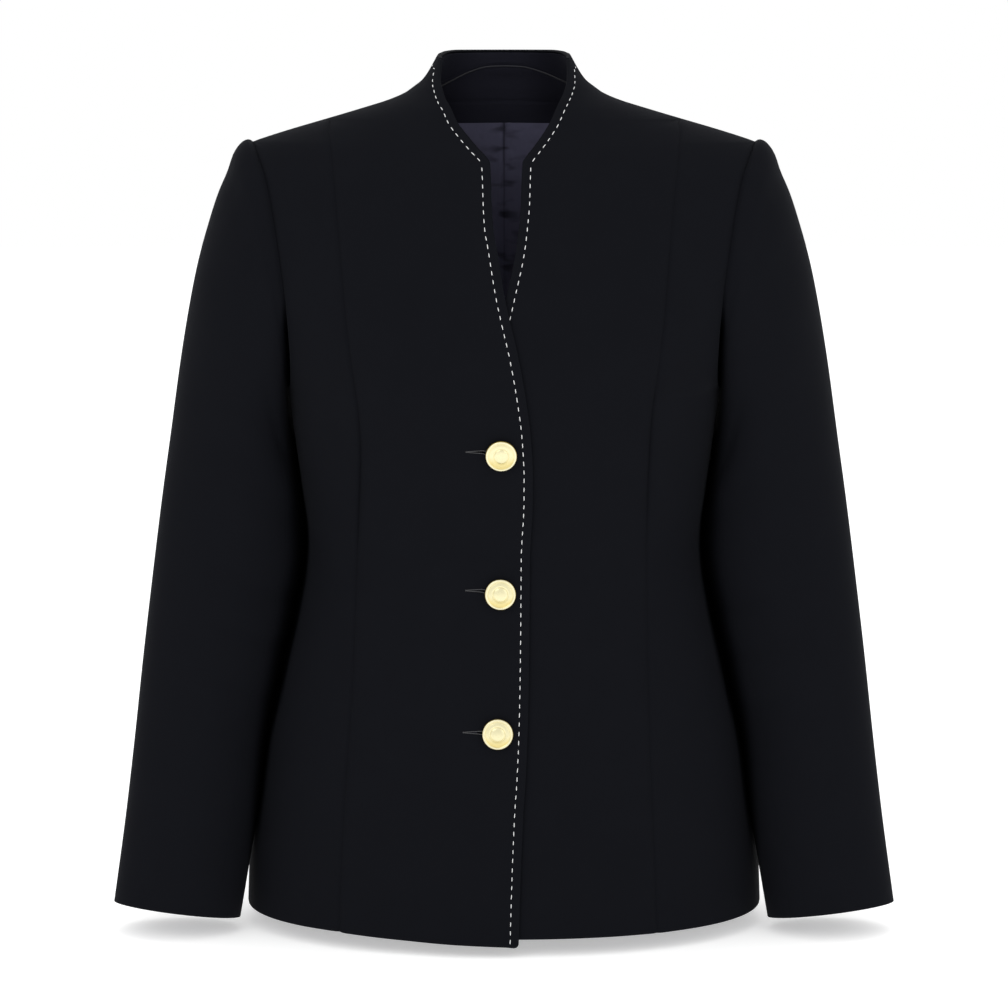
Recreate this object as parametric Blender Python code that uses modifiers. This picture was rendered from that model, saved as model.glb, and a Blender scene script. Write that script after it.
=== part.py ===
"""Suit jacket: a woman's tailored jacket with a grown-on stand collar that ends in a small notch,
a V neck that laps right over left under three domed buttons, shoulder-princess fronts, a centre
back seam and two-piece sleeves. It is filled out as if worn, with nothing inside.

Every piece of cloth is an open wall that follows one of two forms: the torso, a stack of level
rings from hem to collar, or the sleeve, a row of tilted rings from armhole to cuff. The pieces
are cut from those forms along their seams and stand a seam gap apart.

+Z is up and the front faces -Y, so the wearer's right is at -X. The origin lies between the two
side neck points, where the shoulders carry the jacket. Sizes are in millimetres; the meshes are
made in metres.
"""

import math

import bmesh
import bpy
import numpy as np

# ---------------------------------------------------------------- driving sizes, mm
METRES = 0.001
CLOTH = 2.0  # wool with its interlining
FACING = 1.2
LINING = 1.0
SEAM_GAP = 0.3
LAYER_GAP = 1.2  # between a wall and what lines it
SEAM_COLUMN = 4.0  # narrow column of faces along each seam
LAP_GAP = 0.8  # between the two fronts where they overlap
LAP_START = (75.0, 140.0)  # the right front rises onto the left one between these depths
LAP_FADE = (12.0, 60.0)  # and comes down again between these distances past the left edge

HEM = -621.0
WAIST = -336.0
UNDERARM = -221.0
SHOULDER_TIP = -36.0
NECK_SEAM = 0.0
COLLAR_BASE = -10.0  # above it the levels rise with the collar's sloping top edge
COLLAR_TOP = 33.0
LAP_DROP = 6.0  # the top front hangs this much lower at its corner
LAP_DROP_HEIGHT = 60.0
LINING_TOP = -20.6
LINING_TUCK = 1.0
LINING_HEM = -596.0  # the wool is turned up below it
BODY_COLUMNS = {"centre": 6, "side": 5, "back": 8}
COLLAR_COLUMNS = 7

BUTTON_RADIUS = 11.5  # a 36-line coat button
BUTTON_GAP = 0.4
SHANK_RADIUS = 1.4
BUTTON_TURNS = 20
BUTTON_PROFILE = (  # radius, height above the back: the dome, its groove, the rim and the back
    (0, 5.2),
    (3.4, 4.9),
    (5.2, 4.3),
    (6.0, 3.7),
    (8.8, 3.5),
    (10.2, 3.7),
    (BUTTON_RADIUS, 2.4),
    (11.0, 0.8),
    (8.6, 0),
)
BUTTONHOLE_WIDTH = 3.8
BUTTONHOLE_LENGTH = 27.0
BUTTONHOLE_TIP = 0.5
BUTTONHOLE_EASE = 2.2  # how far the hole runs past the shank
BUTTONHOLE_DEPTH = 12.0

RIGHT, LEFT = -1, 1  # sides of the wearer, and the sign of X there


def table(columns, *rows):
    """Named columns over rising heights (or lengths) in the first column."""
    values = np.array(sorted(rows), float)
    return dict(zip(columns.split(), values.T))


# Level sections of the torso. squareness is the exponent of the ring: 2 is an ellipse.
# Between shoulder tip and underarm the half width runs through the armhole, inside the sleeve.
TORSO = table(
    "height half_width front_depth back_depth squareness",
    (33, 47.5, 38, 50, 2.0),
    (28, 50.6, 40, 52, 2.0),
    (20, 55, 43, 55.5, 2.0),
    (11, 61.1, 46.5, 60, 2.0),
    (5, 68.1, 49, 62.5, 2.0),
    (0, 76, 51, 65, 2.0),
    (-5, 88, 53, 67.5, 2.0),
    (-10, 104, 55.5, 70, 2.0),
    (-18, 131, 59.5, 74, 2.0),
    (-27, 162, 64.5, 78, 2.0),
    (-33, 181, 68, 80.5, 2.03),
    (-36, 189.5, 70, 82, 2.05),
    (-41, 197, 73.5, 84.3, 2.07),
    (-48, 203, 77.8, 87, 2.1),
    (-60, 208, 84.3, 90.5, 2.15),
    (-80, 209, 93, 95, 2.18),
    (-100, 206, 101, 99.5, 2.2),
    (-125, 200, 109.5, 104, 2.27),
    (-150, 191, 117, 107, 2.3),
    (-175, 179.5, 123, 108.3, 2.37),
    (-205, 169, 127, 107, 2.4),
    (-221, 164.5, 127.5, 105.5, 2.4),
    (-250, 160.5, 125, 101, 2.35),
    (-300, 154.8, 115, 92.5, 2.25),
    (-336, 152.5, 110, 89, 2.2),
    (-384, 161, 111.5, 94, 2.2),
    (-430, 173, 115, 102, 2.2),
    (-489, 185, 120, 111, 2.2),
    (-548, 193, 124.5, 117, 2.2),
    (-590, 197.5, 127, 120, 2.2),
    (-628, 199, 128.5, 122, 2.2),
)

# Top edge of the stand collar round the neck: turn is 0 at centre front and 180 at centre back.
COLLAR_EDGE = table(
    "turn height",
    (40, 17),
    (58, 23.5),
    (75, 26.9),
    (90, 29.2),
    (110, 31.6),
    (130, 32.4),
    (180, 32.5),
)

# Where each front is cut, as a distance from centre front towards its own side: the neckline,
# the notch at -50, the V down to -148, and the lap below it.
FRONT_EDGE = table(
    "height right left",
    (24, 47.8, 48.6),
    (12.5, 48.2, 47.8),
    (4.5, 46.2, 45.6),
    (-2.8, 43.4, 42.2),
    (-9.3, 39.5, 38.9),
    (-19.4, 34.7, 34.3),
    (-26.3, 29.4, 30.0),
    (-31.7, 25.0, 26.3),
    (-38.9, 18.6, 20.8),
    (-44.6, 12.9, 16.2),
    (-49.0, 10.2, 13.6),
    (-59.6, 9.5, 12.9),
    (-79.6, 8.8, 12.2),
    (-94.6, 7.9, 10.8),
    (-111.7, 5.1, 8.7),
    (-145, -0.4, 1.5),
    (-164, -4.6, -3.0),
    (-185.7, -9.8, -8.5),
    (-214.6, -15.2, -13.5),
    (-245.4, -19.3, -18.0),
    (-276, -20.9, -20.0),
    (-293, -20.9, -20.5),
    (-339, -18.9, -20.0),
    (-391, -18.6, -20.0),
    (-453, -17.7, -20.0),
    (-502, -15.9, -20.0),
    (-524, -14.4, -20.0),
    (-600, -11.4, -20.0),
    (-621, -10.8, -20.0),
)

# Princess seams, as a distance from centre front. They start on the shoulder seam.
PRINCESS_TOP = -18.6
PRINCESS_TIP_TURN = 88.7
PRINCESS = table(
    "height right left",
    (-18.6, 131.5, 131.5),
    (-50, 126.8, 128.6),
    (-84, 123.3, 124.4),
    (-127, 119.2, 120.5),
    (-161, 116.1, 117.7),
    (-201, 111.1, 113.0),
    (-232, 106.9, 108.8),
    (-259, 105.8, 107.4),
    (-296, 107.3, 106.5),
    (-333, 109.3, 106.3),
    (-377, 110.9, 106.5),
    (-440, 113.2, 107.4),
    (-492, 117.0, 109.0),
    (-546, 120.6, 111.4),
    (-621, 123.5, 114.5),
)

# The armhole, as a distance from centre front or centre back.
ARMHOLE = table(
    "height front back",
    (-36, 189.5, 189.5),
    (-38, 187.8, 188.4),
    (-43, 185.2, 186.6),
    (-50, 182.0, 184.6),
    (-62, 177.2, 181.8),
    (-80, 173.0, 178.6),
    (-100, 169.4, 175.6),
    (-125, 165.6, 172.2),
    (-150, 162.6, 169.2),
    (-175, 160.8, 166.4),
    (-195, 160.2, 164.2),
    (-210, 160.6, 162.8),
    (-217, 161.6, 163.0),
    (-221, 164.5, 164.5),
)

# Sections of the sleeve by length along its outer line: where the ring's outer and inner ends
# lie (out from the centre, up), how far forward its middle is, its half depth from front to
# back, and its lean, which tips the ring square to the forearm.
SLEEVE = table(
    "along outer_out outer_up inner_out inner_up forward half_depth lean",
    (0, 189.5, -36, 164.5, -221, 6, 61, 0),
    (4, 193.3, -34.4, 165.2, -222.3, 6, 61.6, 0),
    (8, 197.2, -35.9, 165.6, -223.6, 6, 62.2, 0),
    (13, 201, -39.5, 165.8, -225.4, 6, 62.8, 0),
    (20, 204.6, -45.5, 165.8, -228, 6, 63.4, 0),
    (32, 208.6, -57, 165.4, -233, 5.5, 63.8, 0),
    (50, 216, -74, 164, -242, 5, 63.6, 0),
    (75, 223.8, -97.5, 161, -256, 4, 62.4, 0),
    (105, 232, -126.5, 157, -274, 3, 60.8, 0),
    (140, 239.2, -160.5, 152.5, -296, 2, 59, 0),
    (185, 246.9, -205, 147, -325, 1.5, 57, 0.5),
    (235, 254.1, -254.5, 147, -358, 3, 55, 2),
    (290, 261.7, -309, 154, -398, 7, 52.5, 5),
    (350, 269, -368, 166, -444, 14, 49.5, 7.5),
    (410, 275.9, -427.5, 180, -489, 22, 46.5, 8.5),
    (470, 282.2, -487, 186.5, -533, 30.5, 43.5, 8.5),
    (530, 289, -545.5, 193.6, -576, 38.5, 40.5, 8.5),
    (598, 298, -612, 201.8, -624.7, 47.5, 37.5, 8.5),
)
SLEEVE_RINGS = (0, 4, 8, 13, 20, 32, 50, 75, 110, 150, 200, 260, 325, 395, 465, 535, 598)
CAP_FADE = 130.0  # over this length the sleeve turns from the armhole's outline to an oval
BODY_CLEARANCE = 1.5  # between the hanging sleeve and the body
BODY_CLEARANCE_FADE = 25.0
BODY_DEPTH_SHARE = 0.95  # further forward or back than this the sleeve passes the body
ARMHOLE_GAP = 0.36  # between the sleeve's end and the armhole edges
SLEEVE_SEAM_PLACES = (0.02, 0.13)  # seam gap and seam column, as shares of the step to the next place

# Levels at which the walls have a row of points. Beside the armhole a row runs from an even
# level at the princess or centre back seam to the level in the same place at the armhole.
SKIRT_ROWS = 9
BODICE_ROWS = 4
ARMHOLE_LEVELS = (-36, -39, -49, -62, -80, -100, -122, -146, -170, -190, -206, -217, -221)
SEAM_LEVELS = (-36, -49, -64, -80, -96, -112, -128, -144, -160, -176, -191, -206, -221)
SHOULDER_LEVELS = (-30, -24, -18.6, -12, -6)
COLLAR_LEVELS = (7, 15, 23, 29, 33)
FRONT_SEAM_LEVEL = -190.0  # where the sleeve's two seams meet the armhole
BACK_SEAM_LEVEL = -170.0

BUTTON_HEIGHTS = {"top": -258.9, "middle": -364.0, "bottom": -467.3}
BUTTON_ACROSS = {"top": 2.0, "middle": 2.6, "bottom": 4.6}  # on the right front, from centre front

WOOL = ((0.008, 0.0085, 0.011), 0.85, 0.0)
SATIN = ((0.03, 0.029, 0.048), 0.4, 0.0)
GILT = ((0.83, 0.66, 0.24), 0.3, 1.0)


# ---------------------------------------------------------------- reading the tables
def read(values, column, at, key="height"):
    """One column at a height, on a smooth curve that never overshoots its rows."""
    xs, ys = values[key], values[column]
    steps = np.diff(xs)
    slopes = np.diff(ys) / steps
    at = min(max(at, xs[0]), xs[-1])
    low = min(max(int(np.searchsorted(xs, at)) - 1, 0), len(xs) - 2)

    def tangent(i):
        if i == 0 or i == len(xs) - 1:
            return slopes[0] if i == 0 else slopes[-1]
        before, after = slopes[i - 1], slopes[i]
        if before * after <= 0:
            return 0.0
        heavy = 2 * steps[i] + steps[i - 1]
        light = steps[i] + 2 * steps[i - 1]
        return (heavy + light) / (heavy / before + light / after)

    t = (at - xs[low]) / steps[low]
    first, second = tangent(low) * steps[low], tangent(low + 1) * steps[low]
    from_low = (1 + 2 * t) * (1 - t) ** 2 * ys[low] + t * (1 - t) ** 2 * first
    from_high = t * t * (3 - 2 * t) * ys[low + 1] + t * t * (t - 1) * second
    return float(from_low + from_high)


def ease(value, start, end):
    """0 before start, 1 after end, smooth between."""
    t = min(max((value - start) / (end - start), 0.0), 1.0)
    return t * t * (3 - 2 * t)


# ---------------------------------------------------------------- the torso
def ring(height):
    return [read(TORSO, c, height) for c in ("half_width", "front_depth", "back_depth", "squareness")]


def level_height(level, turn):
    """The real height of a level: level below the neck, rising with the collar edge above it."""
    if level <= COLLAR_BASE:
        return level
    edge = read(COLLAR_EDGE, "height", abs(turn), "turn")
    return COLLAR_BASE + (level - COLLAR_BASE) / (COLLAR_TOP - COLLAR_BASE) * (edge - COLLAR_BASE)


def turn_at(across, height, back=False):
    """The turn about the torso's axis at a distance from centre front or centre back."""
    half_width, _, _, squareness = ring(height)
    share = min(abs(across) / half_width, 1.0) ** (squareness / 2)
    turn = math.degrees(math.asin(share)) * (1 if across >= 0 else -1)
    return 180 - turn if back else turn


def torso_point(side, turn, level):
    """A point of the torso. Turns below 0 lie past centre front, on the other side."""
    height = level_height(level, turn)
    half_width, front_depth, back_depth, squareness = ring(height)
    angle = math.radians(turn)
    across = math.copysign(abs(math.sin(angle)) ** (2 / squareness), math.sin(angle))
    along = math.copysign(abs(math.cos(angle)) ** (2 / squareness), math.cos(angle))
    depth = front_depth if along > 0 else back_depth
    return np.array([side * half_width * across, -depth * along, height])


def torso_reach(point):
    """Below 1 inside the torso's ring at that height, above 1 outside."""
    half_width, front_depth, back_depth, squareness = ring(point[2])
    depth = front_depth if point[1] < 0 else back_depth
    return abs(point[0] / half_width) ** squareness + abs(point[1] / depth) ** squareness


def outward(point, step=0.5):
    """The torso's unit normal at a point on it."""
    slope = [torso_reach(point + step * axis) - torso_reach(point - step * axis) for axis in np.eye(3)]
    return np.array(slope) / np.linalg.norm(slope)


def columns_between(length, count, insets):
    """Distances along a row, with a narrow column at each end for crisp seams.

    An inset widens the end column, so that the others stay above one another.
    """
    narrow = min(SEAM_COLUMN, 0.2 * length)
    first, last = (narrow + min(inset, 0.3 * length) for inset in insets)
    return [0.0, *np.linspace(first, length - last, count - 1), length]


def row_between(side, levels, turns, count, raised, gaps=(1, 1), insets=(0, 0)):
    """A row of points between two levels and two turns, half a seam gap inside each seam."""
    shares = np.linspace(0, 1, 60)

    def place(share):
        turn = turns[0] + share * (turns[1] - turns[0])
        return torso_point(side, turn, levels[0] + ease(share, 0, 1) * (levels[1] - levels[0]))

    line = np.array([place(share) for share in shares])
    run = np.concatenate([[0], np.cumsum(np.linalg.norm(np.diff(line, axis=0), axis=1))])
    first, last = gaps[0] * SEAM_GAP / 2, run[-1] - gaps[1] * SEAM_GAP / 2
    points = []
    for distance in columns_between(last - first, count, insets):
        point = place(float(np.interp(first + distance, run, shares)))
        points.append(point + raised(point) * outward(point))
    return points


def everywhere(value):
    return lambda point: value


def skirt_levels():
    """Rows below the armhole, which are level right round."""
    skirt = np.linspace(HEM, WAIST, SKIRT_ROWS, endpoint=False)
    bodice = np.linspace(WAIST, UNDERARM, BODICE_ROWS, endpoint=False)
    return [(at, at) for at in (*skirt, *bodice)]


def armhole_levels():
    """Rows beside the armhole, from the underarm up: their seam end, then their armhole end."""
    return list(zip(reversed(SEAM_LEVELS), reversed(ARMHOLE_LEVELS)))


def upper_levels(*levels):
    return [(at, at) for at in levels]


def side_turn(at, back=False):
    """Where a front or back ends: at the side seam, the armhole or the shoulder seam."""
    if UNDERARM < at < SHOULDER_TIP:
        return turn_at(read(ARMHOLE, "back" if back else "front", at), at, back)
    return 90.0


def armhole_inset(at, back=False):
    """The armhole is round at the bottom. Rows just below it keep their columns under its sides."""
    if at > UNDERARM:
        return 0.0
    lowest = ARMHOLE_LEVELS[-2]
    reach = abs(torso_point(LEFT, side_turn(lowest, back), lowest)[1])
    return reach * ease(at, WAIST, UNDERARM)


def princess_turn(side, at):
    across = read(PRINCESS, "right" if side == RIGHT else "left", at)
    return turn_at(across, at) if at < PRINCESS_TOP else 90.0


def front_edge_turn(side, at):
    """The cut edge of a front. On the collar it is solved, because the levels slope there."""
    column = "right" if side == RIGHT else "left"
    turn = 45.0
    for _ in range(12):
        height = level_height(at, turn)
        turn = turn_at(read(FRONT_EDGE, column, height), height)
    return turn


def lap_lift(point):
    """How far the right front stands off the torso's form, to lie on the left front."""
    under_edge = -read(FRONT_EDGE, "left", point[2])
    near = 1.0
    if under_edge > 0:
        near = ease(point[0], -under_edge - LAP_FADE[1], -under_edge - LAP_FADE[0])
    return (CLOTH + LAP_GAP) * near * ease(-point[2], *LAP_START)


# ---------------------------------------------------------------- meshes
def finish(name, mesh, look):
    """The object for one piece, with its own material."""
    colour, roughness, metallic = look
    material = bpy.data.materials.new(name)
    material.use_nodes = True
    shader = material.node_tree.nodes["Principled BSDF"]
    shader.inputs["Base Color"].default_value = (*colour, 1)
    shader.inputs["Roughness"].default_value = roughness
    shader.inputs["Metallic"].default_value = metallic
    mesh.materials.append(material)
    piece = bpy.data.objects.new(name, mesh)
    jacket.objects.link(piece)
    return piece


def wall(name, rows, thickness, look, outside_left):
    """A closed wall of cloth: the loft through the rows is its outside, and it thickens inwards.

    outside_left says that the outside is on the left of a row that runs along with rising rows.
    """
    form = bmesh.new()
    grid = [[form.verts.new(point * METRES) for point in row] for row in rows]
    for below, above in zip(grid, grid[1:]):
        for i in range(len(below) - 1):
            loop = (below[i], below[i + 1], above[i + 1], above[i])
            form.faces.new(loop if outside_left else loop[::-1])
    mesh = bpy.data.meshes.new(name)
    form.to_mesh(mesh)
    form.free()
    mesh.shade_smooth()
    piece = finish(name, mesh, look)
    shell = piece.modifiers.new("wall", "SOLIDIFY")
    shell.thickness = thickness * METRES
    shell.offset = -1
    shell.use_even_offset = False
    return piece


# ---------------------------------------------------------------- fronts and backs
def front_centre(side):
    """From the front edge to the princess seam, up into the collar and to the shoulder seam."""
    upper = upper_levels(*SHOULDER_LEVELS, NECK_SEAM, *COLLAR_LEVELS)
    raised = lap_lift if side == RIGHT else everywhere(0)
    rows = []
    for at, _ in [*skirt_levels(), *armhole_levels(), *upper]:
        turns = front_edge_turn(side, at), princess_turn(side, at)
        rows.append(row_between(side, (at, at), turns, BODY_COLUMNS["centre"], raised, gaps=(0, 1)))
    if side == RIGHT:
        for row in rows:
            for i, point in enumerate(row):
                share = 1 - i / (len(row) - 1)
                point[2] -= LAP_DROP * share * ease(HEM + LAP_DROP_HEIGHT - point[2], 0, LAP_DROP_HEIGHT)
    name = "front_right_centre" if side == RIGHT else "front_left_centre"
    return wall(name, rows, CLOTH, WOOL, side == LEFT)


def front_side(side):
    """From the princess seam to the side seam and armhole, ending in a point on the shoulder."""
    upper = upper_levels(*[at for at in SHOULDER_LEVELS if at < PRINCESS_TOP])
    rows = []
    for at, at_side in [*skirt_levels(), *armhole_levels(), *upper]:
        turns = princess_turn(side, at), side_turn(at_side)
        insets = (0, armhole_inset(at_side))
        levels = at, at_side
        rows.append(row_between(side, levels, turns, BODY_COLUMNS["side"], everywhere(0), insets=insets))
    tip = PRINCESS_TOP - SEAM_GAP
    rows.append(row_between(side, (tip, tip), (PRINCESS_TIP_TURN, 90), BODY_COLUMNS["side"], everywhere(0)))
    name = "front_right_side" if side == RIGHT else "front_left_side"
    return wall(name, rows, CLOTH, WOOL, side == LEFT)


def back_rows(side, levels, raised):
    """Rows from the side seam, armhole or shoulder seam to centre back."""
    rows = []
    for at, at_side in levels:
        turns = side_turn(at_side, back=True), 180
        insets = (armhole_inset(at_side, back=True), 0)
        rows.append(row_between(side, (at_side, at), turns, BODY_COLUMNS["back"], raised, insets=insets))
    return rows


def back(side):
    """From the side seam, armhole and shoulder seam to the centre back seam, below the neck."""
    levels = [*skirt_levels(), *armhole_levels(), *upper_levels(*SHOULDER_LEVELS, NECK_SEAM - SEAM_GAP / 2)]
    rows = back_rows(side, levels, everywhere(0))
    name = "back_right" if side == RIGHT else "back_left"
    return wall(name, rows, CLOTH, WOOL, side == LEFT)


def round_the_back(at, start, count, raised):
    """A whole row from the right shoulder round the back of the neck to the left one."""
    right = row_between(RIGHT, (at, at), (start, 180), count, raised, gaps=(1, 0))
    left = row_between(LEFT, (at, at), (start, 180), count, raised, gaps=(1, 0))
    return right + left[-2::-1]


def collar_back():
    """The stand collar behind the neck, between the two shoulder seams."""
    levels = [NECK_SEAM + SEAM_GAP / 2, *COLLAR_LEVELS]
    rows = [round_the_back(at, 90, COLLAR_COLUMNS, everywhere(0)) for at in levels]
    return wall("collar_back", rows, CLOTH, WOOL, False)


# The curved seam inside the collar, higher at centre back, and the straight lower facing edge.
COLLAR_FACING_SEAM = table("turn height", (90, 1), (110, 6), (130, 12.5), (150, 19), (165, 21.8), (180, 22.3))
FACING_START = 100.0
FACING_COLUMNS = 12


def inner_back_rows(shares, low_at, high_at):
    """Rows round the inside of the back neck, between two edges whose heights change with the turn."""
    turns = np.linspace(FACING_START, 180, FACING_COLUMNS + 1)
    places = [(RIGHT, turn) for turn in turns] + [(LEFT, turn) for turn in turns[-2::-1]]
    rows = []
    for share in shares:
        row = []
        for side, turn in places:
            height = low_at(turn) + share * (high_at(turn) - low_at(turn))
            half_width, _, back_depth, squareness = ring(height)
            angle = math.radians(turn)
            across = side * half_width * max(math.sin(angle), 0) ** (2 / squareness)
            behind = back_depth * abs(math.cos(angle)) ** (2 / squareness)
            point = np.array([across, behind, height])
            row.append(point - (CLOTH + LAYER_GAP) * outward(point))
        rows.append(row)
    return rows


def facing_seam(turn):
    return read(COLLAR_FACING_SEAM, "height", turn, "turn")


def collar_facing():
    """The collar's inner layer, from its top edge to the curved seam."""
    rows = inner_back_rows(
        (0, 0.33, 0.67, 1),
        lambda turn: facing_seam(turn) + SEAM_GAP / 2,
        lambda turn: read(COLLAR_EDGE, "height", turn, "turn"),
    )
    return wall("collar_facing", rows, FACING, WOOL, False)


def back_neck_facing():
    """The wool facing below it, with a straight lower edge."""
    rows = inner_back_rows(
        (0, 0.25, 0.5, 0.75, 1),
        lambda turn: LINING_TOP + SEAM_GAP / 2,
        lambda turn: facing_seam(turn) - SEAM_GAP / 2,
    )
    return wall("back_neck_facing", rows, FACING, WOOL, False)


def lining_back(side):
    """Half of the satin back lining, inside the wool back, from the facing to above the hem."""
    levels = [*skirt_levels(), *armhole_levels(), *upper_levels(*SHOULDER_LEVELS)]
    levels = [pair for pair in levels if LINING_HEM < pair[0] < LINING_TOP - LINING_TUCK - 1]
    levels = upper_levels(LINING_HEM) + levels + upper_levels(LINING_TOP - LINING_TUCK)
    rows = back_rows(side, levels, everywhere(-CLOTH - LAYER_GAP))
    name = "lining_back_right" if side == RIGHT else "lining_back_left"
    return wall(name, rows, LINING, SATIN, side == LEFT)


# ---------------------------------------------------------------- sleeves
def armhole_point(side, at, front):
    return torso_point(side, side_turn(at, back=not front), at)


def sleeve_ring(side, along, places):
    """Points of one tilted ring. A place is an angle: 0 at the outer end, 90 in front."""
    values = {column: read(SLEEVE, column, along, "along") for column in SLEEVE}
    outer = np.array([values["outer_out"], 0, values["outer_up"]])
    inner = np.array([values["inner_out"], 0, values["inner_up"]])
    forward, half_depth = values["forward"], values["half_depth"]
    lean = math.radians(values["lean"])
    middle = (outer + inner) / 2 - np.array([0, forward, 0])
    to_outer = (outer - inner) / 2
    to_front = half_depth * np.array([0, -math.cos(lean), math.sin(lean)])
    points = []
    for place in places:
        angle = math.radians(place)
        point = middle + to_outer * math.cos(angle) + to_front * math.sin(angle)
        points.append(point * np.array([side, 1, 1]))
    return points


def armhole_places():
    """Angle, height and face of each point round the armhole: down the front, up the back."""
    middle, half = (SHOULDER_TIP + UNDERARM) / 2, (SHOULDER_TIP - UNDERARM) / 2
    angles = [math.degrees(math.acos((at - middle) / half)) for at in ARMHOLE_LEVELS]
    front = [(angle, at, True) for angle, at in zip(angles, ARMHOLE_LEVELS)]
    behind = [(360 - angle, at, False) for angle, at in zip(angles, ARMHOLE_LEVELS)]
    return front + behind[-2:0:-1]


def clear_of_body(point, along):
    """A sleeve point that would enter the torso is pressed out sideways, as cloth is."""
    if point[2] > UNDERARM:
        return point
    room = SEAM_GAP + (BODY_CLEARANCE - SEAM_GAP) * ease(along, 0, BODY_CLEARANCE_FADE)
    half_width, front_depth, back_depth, squareness = ring(point[2])
    depth = (front_depth if point[1] < 0 else back_depth) + room
    share = abs(point[1] / depth)
    if share >= BODY_DEPTH_SHARE:
        return point
    least = (half_width + room) * (1 - share**squareness) ** (1 / squareness)
    return np.array([math.copysign(max(abs(point[0]), least), point[0]), point[1], point[2]])


def sleeve_rows(side, places):
    """Rings from armhole to cuff through the given places."""
    angles = [place[0] for place in places]
    seam = [armhole_point(side, at, front) for _, at, front in places]
    start = sleeve_ring(side, 0, angles)
    rows = []
    for along in SLEEVE_RINGS:
        fade = 1 - ease(along, 0, CAP_FADE)
        points = sleeve_ring(side, along, angles)
        points = [p + fade * (s - o) for p, s, o in zip(points, seam, start)]
        rows.append([clear_of_body(p, along) for p in points])
    moved = []
    for first, second in zip(seam, rows[1]):
        away = (second - first) / np.linalg.norm(second - first) + outward(first)
        moved.append(first + ARMHOLE_GAP * away / np.linalg.norm(away))
    rows[0] = moved
    return rows


def between(first, second, share):
    """A place part of the way from one place to the next."""
    return (*(a + share * (b - a) for a, b in zip(first[:2], second[:2])), first[2])


def seam_ends(run):
    """The run of places with its two ends drawn in by the seam gap, each with a narrow column."""
    gap, narrow = SLEEVE_SEAM_PLACES
    start = [between(run[0], run[1], share) for share in (gap, narrow)]
    end = [between(run[-1], run[-2], share) for share in (narrow, gap)]
    return [*start, *run[1:-1], *end]


def sleeve(side):
    """Top sleeve and under sleeve. Both seams are rolled under, towards the body."""
    places = armhole_places()
    front_seam = next(i for i, p in enumerate(places) if p[1] == FRONT_SEAM_LEVEL and p[2])
    back_seam = next(i for i, p in enumerate(places) if p[1] == BACK_SEAM_LEVEL and not p[2])
    under = places[front_seam : back_seam + 1]
    once_round = [(angle + 360, at, front) for angle, at, front in places[: front_seam + 1]]
    top = places[back_seam:] + once_round
    side_name = "right" if side == RIGHT else "left"
    for name, run in (("top", top), ("under", under)):
        wall(f"sleeve_{side_name}_{name}", sleeve_rows(side, seam_ends(run)), CLOTH, WOOL, side == LEFT)


# ---------------------------------------------------------------- buttons
def button(place):
    """A domed metal button with a rim; its shank goes through the buttonhole."""
    height = BUTTON_HEIGHTS[place]
    turn = turn_at(BUTTON_ACROSS[place], height)
    under = torso_point(RIGHT, turn, height)
    normal = outward(under)
    top_cloth = under + (CLOTH + LAP_GAP) * normal
    shank = CLOTH + LAP_GAP + BUTTON_GAP - SEAM_GAP
    profile = (*BUTTON_PROFILE, (SHANK_RADIUS, 0), (SHANK_RADIUS, -shank), (0, -shank))
    mesh = bpy.data.meshes.new(f"button_{place}")
    edges = [(i, i + 1) for i in range(len(profile) - 1)]
    mesh.from_pydata([(r * METRES, 0, z * METRES) for r, z in profile], edges, [])
    piece = finish(f"button_{place}", mesh, GILT)
    turned = piece.modifiers.new("turned", "SCREW")
    turned.steps = turned.render_steps = BUTTON_TURNS
    turned.use_merge_vertices = True
    turned.merge_threshold = 0.00001
    turned.use_smooth_shade = True
    base = top_cloth + BUTTON_GAP * normal
    piece.location = base * METRES
    tilt = math.atan2(normal[2], -normal[1])
    swing = math.atan2(normal[0], -normal[1])
    piece.rotation_euler = (math.pi / 2 - tilt, 0, swing)
    return piece


def buttonhole(place, front):
    """The hole the shank goes through: wide at the shank and drawn to a point."""
    height = BUTTON_HEIGHTS[place]
    centre = torso_point(RIGHT, turn_at(BUTTON_ACROSS[place], height), height)
    form = bmesh.new()
    bmesh.ops.create_cube(form, size=1)
    for corner in form.verts:
        at_tip = corner.co.x < 0
        width = BUTTONHOLE_TIP if at_tip else BUTTONHOLE_WIDTH
        x = BUTTONHOLE_EASE - BUTTONHOLE_LENGTH if at_tip else BUTTONHOLE_EASE
        size = (x, corner.co.y * BUTTONHOLE_DEPTH, corner.co.z * width)
        corner.co = [value * METRES for value in size]
    mesh = bpy.data.meshes.new(f"buttonhole_{place}")
    form.to_mesh(mesh)
    form.free()
    cutter = bpy.data.objects.new(mesh.name, mesh)
    cutters.objects.link(cutter)
    cutter.location = centre * METRES
    cutter.hide_render = True
    cutter.display_type = "WIRE"
    cut = front.modifiers.new(cutter.name, "BOOLEAN")
    cut.operation = "DIFFERENCE"
    cut.object = cutter


# ---------------------------------------------------------------- the jacket
for leftover in list(bpy.data.objects):
    bpy.data.objects.remove(leftover)

jacket = bpy.data.collections.new("suit_jacket")
cutters = bpy.data.collections.new("cutters")
for group in (jacket, cutters):
    bpy.context.scene.collection.children.link(group)

for wearer_side in (RIGHT, LEFT):
    centre_front = front_centre(wearer_side)
    front_side(wearer_side)
    back(wearer_side)
    lining_back(wearer_side)
    sleeve(wearer_side)
    if wearer_side == RIGHT:
        for button_place in BUTTON_HEIGHTS:
            buttonhole(button_place, centre_front)
            button(button_place)
collar_back()
collar_facing()
back_neck_facing()
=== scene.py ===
"""Suit jacket: the cloth, sewing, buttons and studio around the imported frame.

Each CAD wall is replaced by a fine shell on the same form, with rounded edges, sewn-in seams,
lining inside, pick stitching, corded buttonholes and domed metal buttons. Sizes are in
millimetres where a comment doesn't say otherwise; the meshes are made in metres.
"""

import math

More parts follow.
